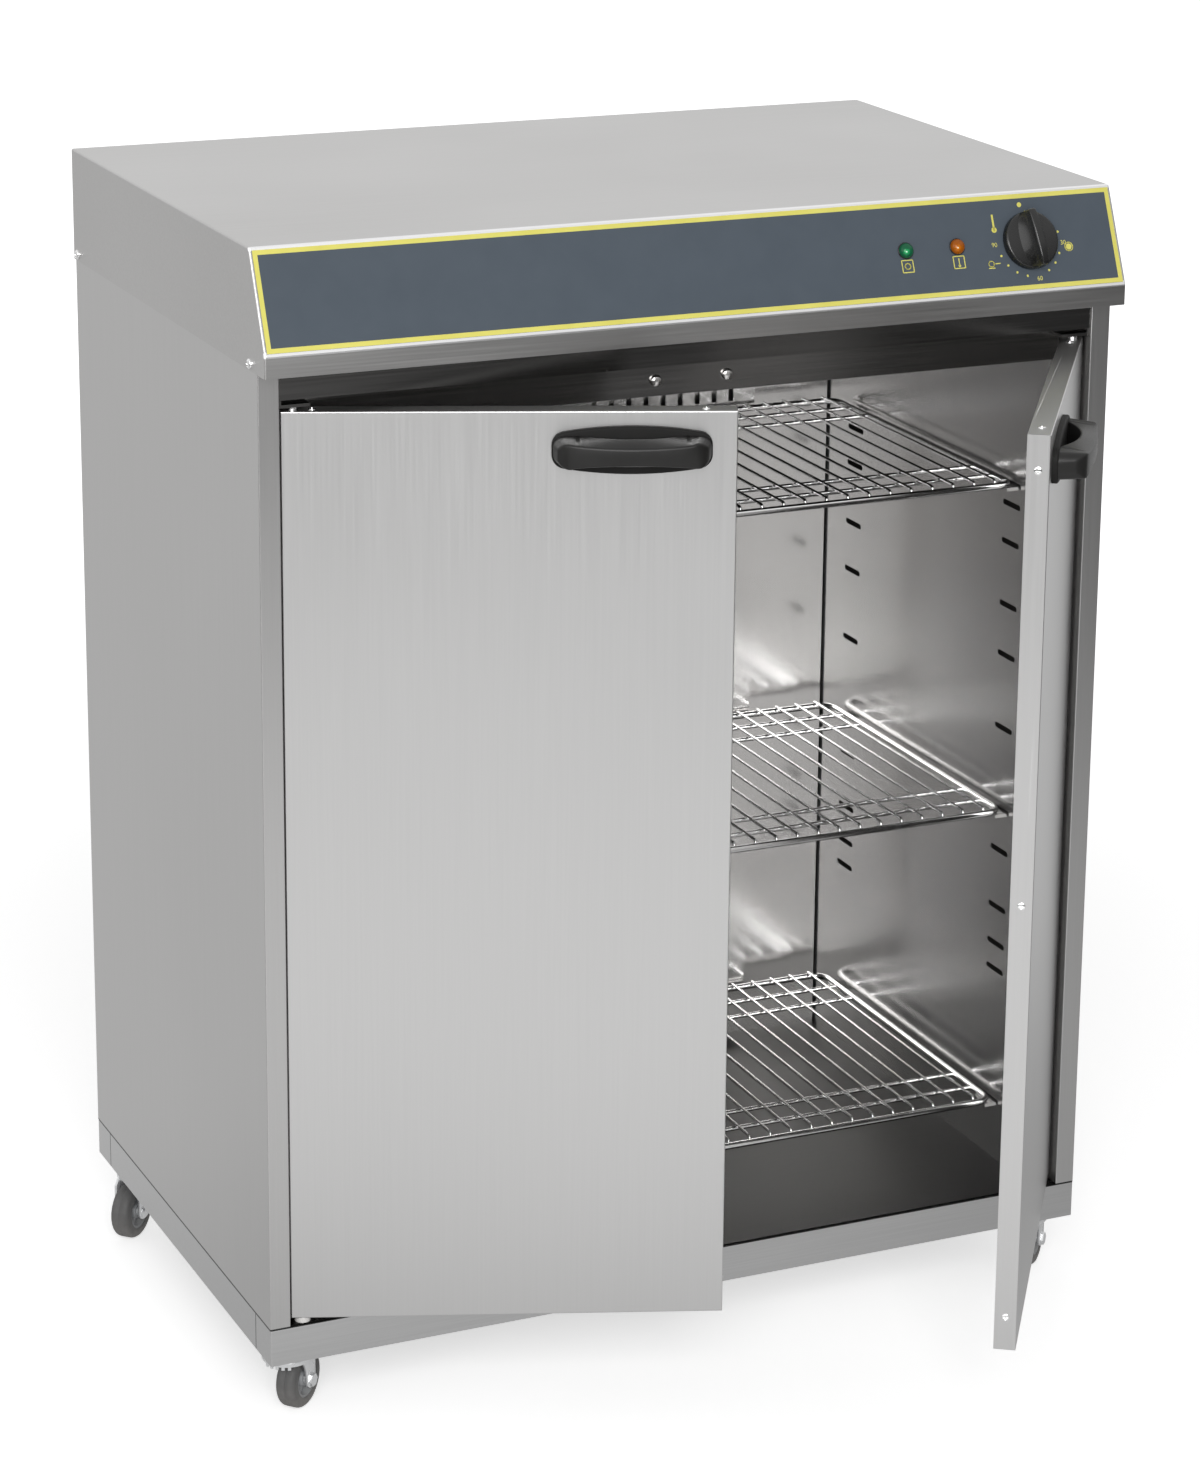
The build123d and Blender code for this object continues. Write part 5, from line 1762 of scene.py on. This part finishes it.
@dataclass
class SwivelCastor:
    """A swivel castor: pressed fork, toothed ring, axle bolt, wheel core and tyre."""

    frame: Frame
    corner: Corner
    sheet: float = 0.0025
    crown_radius: float = 0.021
    crown_steps: int = 64
    cup_depth: float = 0.0045
    fold_rings: int = 4
    foot_radius: float = 0.0070
    leg_steps: int = 8
    leg_front: float = 0.004
    leg_sweep: float = 0.006
    leg_rear: float = 0.008
    leg_edge: float = 0.0006
    leg_angle: float = 60.0
    leg_segments: int = 2
    ring_inset: float = 0.0006
    ring_width: float = 0.0016
    ring_sink: float = 0.0002
    ring_drop: float = 0.0010
    teeth: int = 24
    tooth_depth: float = 0.0026
    tooth_phase: float = 0.25
    tooth_reach: float = 0.62
    tooth_clearance: float = 1e-4
    axle_radius: float = 0.004
    axle_steps: int = 28
    bolt_head: float = 0.0058
    bolt_height: float = 0.0024
    bolt_flat: float = 0.7
    bolt_rim: float = 0.4
    bolt_sink: float = 0.0002
    nut_sides: int = 6
    wheel_gap: float = 0.0015
    wheel_radius: float = 0.025
    wheel_width: float = 0.018
    core_width: float = 0.0165
    core_rim: float = 0.0025
    core_edge: float = 0.0006
    core_steps: int = 64
    core_bore: float = 0.0041
    hub_radius: float = 0.0070
    hub_step: float = 0.001
    web_depth: float = 0.005
    ribs: int = 6
    rib_width: float = 0.0018
    rib_height: float = 0.0024
    rib_rise: float = 0.001
    tyre_depth: float = 0.009
    tyre_round: float = 0.005
    tyre_rings: int = 6
    tyre_steps: int = 72
    line_half: float = 0.0008
    line_depth: float = 0.0003

    def build(self) -> None:
        """Makes the fork on its swivel and the wheel on its axle."""
        self._fork()
        seat = self.place() @ shift(self.trail().length, 0.0, self.wheel_radius) @ turned(90, "X")
        self._core(seat)
        self._tyre(seat)

    def swivel(self) -> Vector:
        """Where the swivel axis meets the top of the fork's crown."""
        return self.frame.joint_place(f"{self.corner.value}_castor_swivel")

    def trail(self) -> Vector:
        """How the axle lies from the swivel axis, seen from above."""
        return (self.frame.joint_place(f"{self.corner.value}_wheel_spin") - self.swivel()).to_2d()

    def place(self) -> Matrix:
        """The castor's own frame: origin on the floor under the swivel, X towards the axle.

        Returns:
            The frame as a matrix.
        """
        swivel = self.swivel()
        trail = self.trail()
        return shift(swivel.x, swivel.y) @ Matrix.Rotation(math.atan2(trail.y, trail.x), 4, "Z")

    def _leg_outline(self) -> list[Flat]:
        """A leg seen from the side: broad at the crown, swept back and round at the axle.

        Returns:
            The outline's corners, in order.
        """
        top = self.swivel().z
        trail = self.trail().length
        foot = self.foot_radius
        inner = self.wheel_width / 2 + self.wheel_gap
        reach = math.sqrt(self.crown_radius**2 - (inner + self.sheet) ** 2)
        outline = []
        for i in range(self.leg_steps + 1):
            turn = -math.pi * i / self.leg_steps
            outline.append((trail + foot * math.cos(turn), self.wheel_radius + foot * math.sin(turn)))
        start = Vector((trail - foot, self.wheel_radius))
        pull = Vector((trail - foot, top - self.leg_sweep))
        end = Vector((-reach, top - self.leg_front))
        for i in range(1, self.leg_steps):
            share = i / self.leg_steps
            outline.append(tuple(start.lerp(pull, share).lerp(pull.lerp(end, share), share)))
        return [*outline, tuple(end), (-reach, top), (reach, top), (trail + foot, top - self.leg_rear)]

    def _fork(self) -> None:
        """Crown, two legs, the toothed ring under the crown and the axle bolt."""
        name = self.corner.value
        top = self.swivel().z
        low = top - self.cup_depth
        outer = self.crown_radius
        hollow = outer - self.sheet
        fork = Shaper()
        fold = quarter_arc((hollow, top - self.sheet), self.sheet, self.sheet, self.fold_rings)
        under = [(hollow, low), (hollow, top - self.sheet), (0.0, top - self.sheet)]
        fork.turn([(0.0, top), *reversed(fold), (outer, low), *under], self.crown_steps)
        inner = self.wheel_width / 2 + self.wheel_gap
        for depth in (-inner, inner + self.sheet):
            before = set(fork.bm.verts)
            leg = fork.plate(self._leg_outline(), self.sheet)
            fork.round_edges(fork.sharp_edges(leg, self.leg_angle), self.leg_edge, self.leg_segments)
            fork.move(fork.since(before), shift(y=depth) @ turned(90, "X"))
        self._teeth(fork, low)
        self._axle(fork)
        piece = fork.finish(f"{name}_castor_pressing", (ZINC,), self.place(), smooth=35.0)
        settle(piece, f"{name}_swivel", "zinc_plate", f"{name}_castor_fork")

    def _teeth(self, bench: Shaper, top: float) -> None:
        """A ring under the crown, with teeth that hang from its front.

        Args:
            bench: the bench that holds the fork.
            top: the height of the crown's lower edge.
        """
        outer = self.crown_radius - self.ring_inset
        inner = outer - self.ring_width
        high = top + self.ring_sink
        low = top - self.ring_drop
        wall = [(inner, high), (outer, high), (outer, low), (inner, low), (inner, high)]
        ring = bench.turn(wall, 2 * self.teeth)
        bench.bm.normal_update()
        limit = low + self.tooth_clearance
        faces = {face for vert in ring for face in vert.link_faces}
        pitch = math.tau / (2 * self.teeth)
        for face in [face for face in faces if max(vert.co.z for vert in face.verts) < limit]:
            middle = face.calc_center_median()
            count = math.floor(math.atan2(middle.y, middle.x) / pitch + self.tooth_phase)
            if count % 2 == 0 and abs(middle.y) < inner * self.tooth_reach and middle.x < 0:
                raised = bmesh.ops.extrude_discrete_faces(bench.bm, faces=[face])["faces"]
                verts = list({vert for made in raised for vert in made.verts})
                bmesh.ops.translate(bench.bm, verts=verts, vec=(0, 0, -self.tooth_depth))

    def _axle(self, bench: Shaper) -> None:
        """The axle with a round head on one side and a hexagon nut on the other.

        Args:
            bench: the bench that holds the fork.
        """
        half = self.wheel_width / 2 + self.wheel_gap + self.sheet
        inside = half - self.bolt_sink
        head = self.bolt_head
        tall = self.bolt_height
        profile = [
            (0.0, half + tall),
            (head * self.bolt_flat, half + tall),
            (head, half + tall * self.bolt_rim),
            (head, inside),
            (self.axle_radius, inside),
            (self.axle_radius, -inside),
            (0.0, -inside),
        ]
        seat = shift(self.trail().length, 0.0, self.wheel_radius) @ turned(-90, "X")
        bench.move(bench.turn(profile, self.axle_steps), seat)
        nut = bench.plate(ring_points((0.0, 0.0), head, self.nut_sides), tall)
        bench.move(nut, seat @ shift(z=-half - tall))

    def _core(self, seat: Matrix) -> None:
        """Wheel core with rim, dished web, ribs and hub.

        Args:
            seat: where the wheel's middle stands, with Z along the axle.
        """
        name = self.corner.value
        radius = self.wheel_radius - self.tyre_depth
        half = self.core_width / 2
        web = half - self.web_depth
        rim = radius - self.core_rim
        hub = self.hub_radius
        step = self.hub_step
        edge = self.core_edge
        right = [
            (self.core_bore, half - step),
            (hub - step, half - step),
            (hub, half - 2 * step),
            (hub + step, web),
            (rim - step, web),
            (rim, half - edge),
            (rim + edge, half),
            (radius, half),
        ]
        left = [(out, -height) for out, height in reversed(right)]
        core = Shaper()
        core.turn([*right, *left, right[0]], self.core_steps)
        length = rim - hub
        for rise in (web + self.rib_rise, -web - self.rib_rise):
            for i in range(self.ribs):
                place = turned(360 * i / self.ribs, "Z") @ shift(hub + length / 2, 0.0, rise)
                core.block((length, self.rib_width, self.rib_height), place)
        piece = core.finish(f"{name}_castor_wheel_core", (CORE_GREY,), seat, smooth=35.0)
        settle(piece, f"{name}_wheel", "grey_core_plastic", f"{name}_castor_core")

    def _tyre(self, seat: Matrix) -> None:
        """Tyre with rounded shoulders and a fine mould line round its middle.

        Args:
            seat: where the wheel's middle stands, with Z along the axle.
        """
        name = self.corner.value
        half = self.wheel_width / 2
        radius = self.wheel_radius
        bore = radius - self.tyre_depth
        bulge = self.tyre_round
        shoulder = quarter_arc((radius - bulge, half - bulge), bulge, bulge, self.tyre_rings)
        line = [(radius, self.line_half), (radius - self.line_depth, self.line_depth)]
        right = [(bore, half), *reversed(shoulder), *line]
        left = [(out, -height) for out, height in reversed(right)]
        tyre = Shaper()
        tyre.turn([*right, *left, right[0]], self.tyre_steps)
        piece = tyre.finish(f"{name}_castor_tread", (TYRE_GREY,), seat)
        settle(piece, f"{name}_wheel", "grey_rubber", f"{name}_castor_tyre")


@dataclass
class Studio:
    """Floor, light and camera round the cupboard."""

    camera_place: Point = (-1.379, -3.148, 1.607)
    azimuth: float = 25.18
    elevation: float = 15.64
    roll: float = 0.87
    focal_pixels: float = 4153.0
    axis_pixel: Flat = (690.0, 560.0)
    sensor: float = 36.0
    floor_size: float = 40.0
    floor_white: Colour = grey(0.86)
    floor_bounce: Colour = grey(0.70)
    floor_glow: Flat = (0.58, 0.95)
    glow_span: Flat = (0.7, 3.0)
    pool_centre: Point = (-0.6, -1.9, 0.0)
    pool_span: Flat = (0.8, 2.6)
    pool_level: Flat = (0.92, 0.09)
    behind_span: Flat = (-0.7, 0.5)
    behind_level: float = 0.66
    key_place: Point = (-1.55, -3.6, 2.1)
    key_aim: Point = (0.0, 0.0, 0.5)
    key_size: float = 2.0
    key_power: float = 95.0
    world_diffuse: float = 0.36
    world_low: float = 0.30
    world_glossy: float = 0.90
    rise_span: Flat = (0.30, 0.52)
    rear_span: Flat = (0.20, 0.60)
    box_toward: Point = (-0.89, -0.34, 0.25)
    box_edge: Flat = (0.88, 0.97)
    box_gain: float = 1.8
    white: Colour = grey(1.0)

    def build(self) -> None:
        """Sets up the floor, the world, the lamp and the camera."""
        self._floor()
        self._world()
        self._key_lamp()
        self._camera()
        bpy.context.scene.view_settings.view_transform = "Standard"

    def _floor(self) -> None:
        """A plain pale floor that keeps the cupboard's shadow and runs out to white, and shows painted light
        and shade to glossy rays.
        """
        bench = Shaper()
        bmesh.ops.create_grid(bench.bm, x_segments=1, y_segments=1, size=self.floor_size / 2)
        floor = bench.finish("studio_floor", ())
        material = bpy.data.materials.new("studio_floor")
        material.use_nodes = True
        material.node_tree.nodes.clear()
        graph = Graph(material.node_tree)
        place = graph.add("ShaderNodeNewGeometry").outputs["Position"]
        rays = graph.add("ShaderNodeLightPath").outputs
        far = graph.vector("LENGTH", place)["Value"]
        glow = graph.remap(far, *self.glow_span, *self.floor_glow)
        lit = graph.shader("ShaderNodeBsdfDiffuse", Color=self.floor_white)
        haze = graph.shader("ShaderNodeEmission", Color=self.white, Strength=glow)
        seen = graph.add("ShaderNodeAddShader", {0: lit, 1: haze}).outputs[0]
        # For glossy rays the floor shows a painted pool of light in front of the cupboard, fading to painted
        # shade nearer it, and a steady level behind.
        painted_pool = graph.vector("DISTANCE", place, self.pool_centre)["Value"]
        front = graph.remap(painted_pool, *self.pool_span, *self.pool_level)
        behind = graph.remap(graph.axes(place)["Y"], *self.behind_span, 0.0, 1.0)
        rest = graph.calc("MULTIPLY", front, graph.calc("SUBTRACT", 1.0, behind))
        level = graph.calc("MULTIPLY_ADD", behind, self.behind_level, rest)
        mirrored = graph.shader("ShaderNodeEmission", Color=self.white, Strength=level)
        bounce = graph.shader("ShaderNodeBsdfDiffuse", Color=self.floor_bounce)
        unseen = graph.either(rays["Is Glossy Ray"], bounce, mirrored)
        graph.add("ShaderNodeOutputMaterial", {"Surface": graph.either(rays["Is Camera Ray"], unseen, seen)})
        floor.data.materials.append(material)
        floor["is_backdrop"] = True

    def _world(self) -> None:
        """White to the camera, soft to matt surfaces, and to glossy ones a sky with one bright box."""
        world = bpy.data.worlds.new("studio_world")
        world.use_nodes = True
        world.node_tree.nodes.clear()
        graph = Graph(world.node_tree)
        rays = graph.add("ShaderNodeLightPath").outputs
        toward = graph.add("ShaderNodeTexCoord").outputs["Generated"]
        axes = graph.axes(toward)
        above = graph.remap(axes["Z"], *self.rise_span, 0.0, 1.0)
        behind = graph.remap(axes["Y"], *self.rear_span, 0.0, 1.0)
        lift = graph.calc("MAXIMUM", above, behind)
        sky = graph.calc("MULTIPLY_ADD", lift, self.world_glossy - self.world_low, self.world_low)
        near = graph.vector("DOT_PRODUCT", toward, Vector(self.box_toward).normalized())["Value"]
        level = graph.calc("ADD", sky, graph.remap(near, *self.box_edge, 0.0, self.box_gain))
        soft, shine, seen = (
            graph.shader("ShaderNodeBackground", Color=self.white, Strength=strength)
            for strength in (self.world_diffuse, level, 1.0)
        )
        mirrored = graph.calc("MAXIMUM", rays["Is Glossy Ray"], rays["Is Transmission Ray"])
        unseen = graph.either(mirrored, soft, shine)
        graph.add("ShaderNodeOutputWorld", {"Surface": graph.either(rays["Is Camera Ray"], unseen, seen)})
        bpy.context.scene.world = world

    def _key_lamp(self) -> None:
        """One large soft lamp, aimed at the cupboard."""
        lamp = bpy.data.lights.new("key_lamp", "AREA")
        lamp.shape = "SQUARE"
        lamp.size = self.key_size
        lamp.energy = self.key_power
        holder = bpy.data.objects.new("key_lamp", lamp)
        holder.location = self.key_place
        aim = Vector(self.key_aim) - Vector(self.key_place)
        holder.rotation_euler = aim.to_track_quat("-Z", "Y").to_euler()
        bpy.context.scene.collection.objects.link(holder)

    def _camera(self) -> None:
        """A camera at the photograph's viewing angle."""
        azimuth = math.radians(self.azimuth)
        elevation = math.radians(self.elevation)
        roll = math.radians(self.roll)
        ahead = math.cos(elevation)
        forward = Vector((math.sin(azimuth) * ahead, math.cos(azimuth) * ahead, -math.sin(elevation)))
        level = Vector((math.cos(azimuth), -math.sin(azimuth), 0.0))
        upright = level.cross(forward)
        right = level * math.cos(roll) + upright * math.sin(roll)
        up = upright * math.cos(roll) - level * math.sin(roll)
        data = bpy.data.cameras.new("camera")
        data.sensor_fit = "AUTO"
        data.sensor_width = self.sensor
        longest = max(IMAGE_WIDTH, IMAGE_HEIGHT)
        data.lens = self.sensor * self.focal_pixels / longest
        data.shift_x = (IMAGE_WIDTH / 2 - self.axis_pixel[0]) / longest
        data.shift_y = (self.axis_pixel[1] - IMAGE_HEIGHT / 2) / longest
        camera = bpy.data.objects.new("camera", data)
        turn = Matrix((right, up, -forward)).transposed().to_4x4()
        camera.matrix_world = Matrix.Translation(self.camera_place) @ turn
        bpy.context.scene.collection.objects.link(camera)
        bpy.context.scene.camera = camera


def main() -> None:
    """Builds the sub-assemblies in order."""
    logging.basicConfig(level=logging.INFO, format="%(message)s")
    frame = Frame()
    CabinetBody(frame).build()
    for side in Side:
        DoorLeaf(frame, side).build()
    ControlPanel(frame).build()
    for level in Level:
        WireShelf(frame, level).build()
    for corner in Corner:
        SwivelCastor(frame, corner).build()
    Studio().build()


if __name__ == "__main__":
    main()
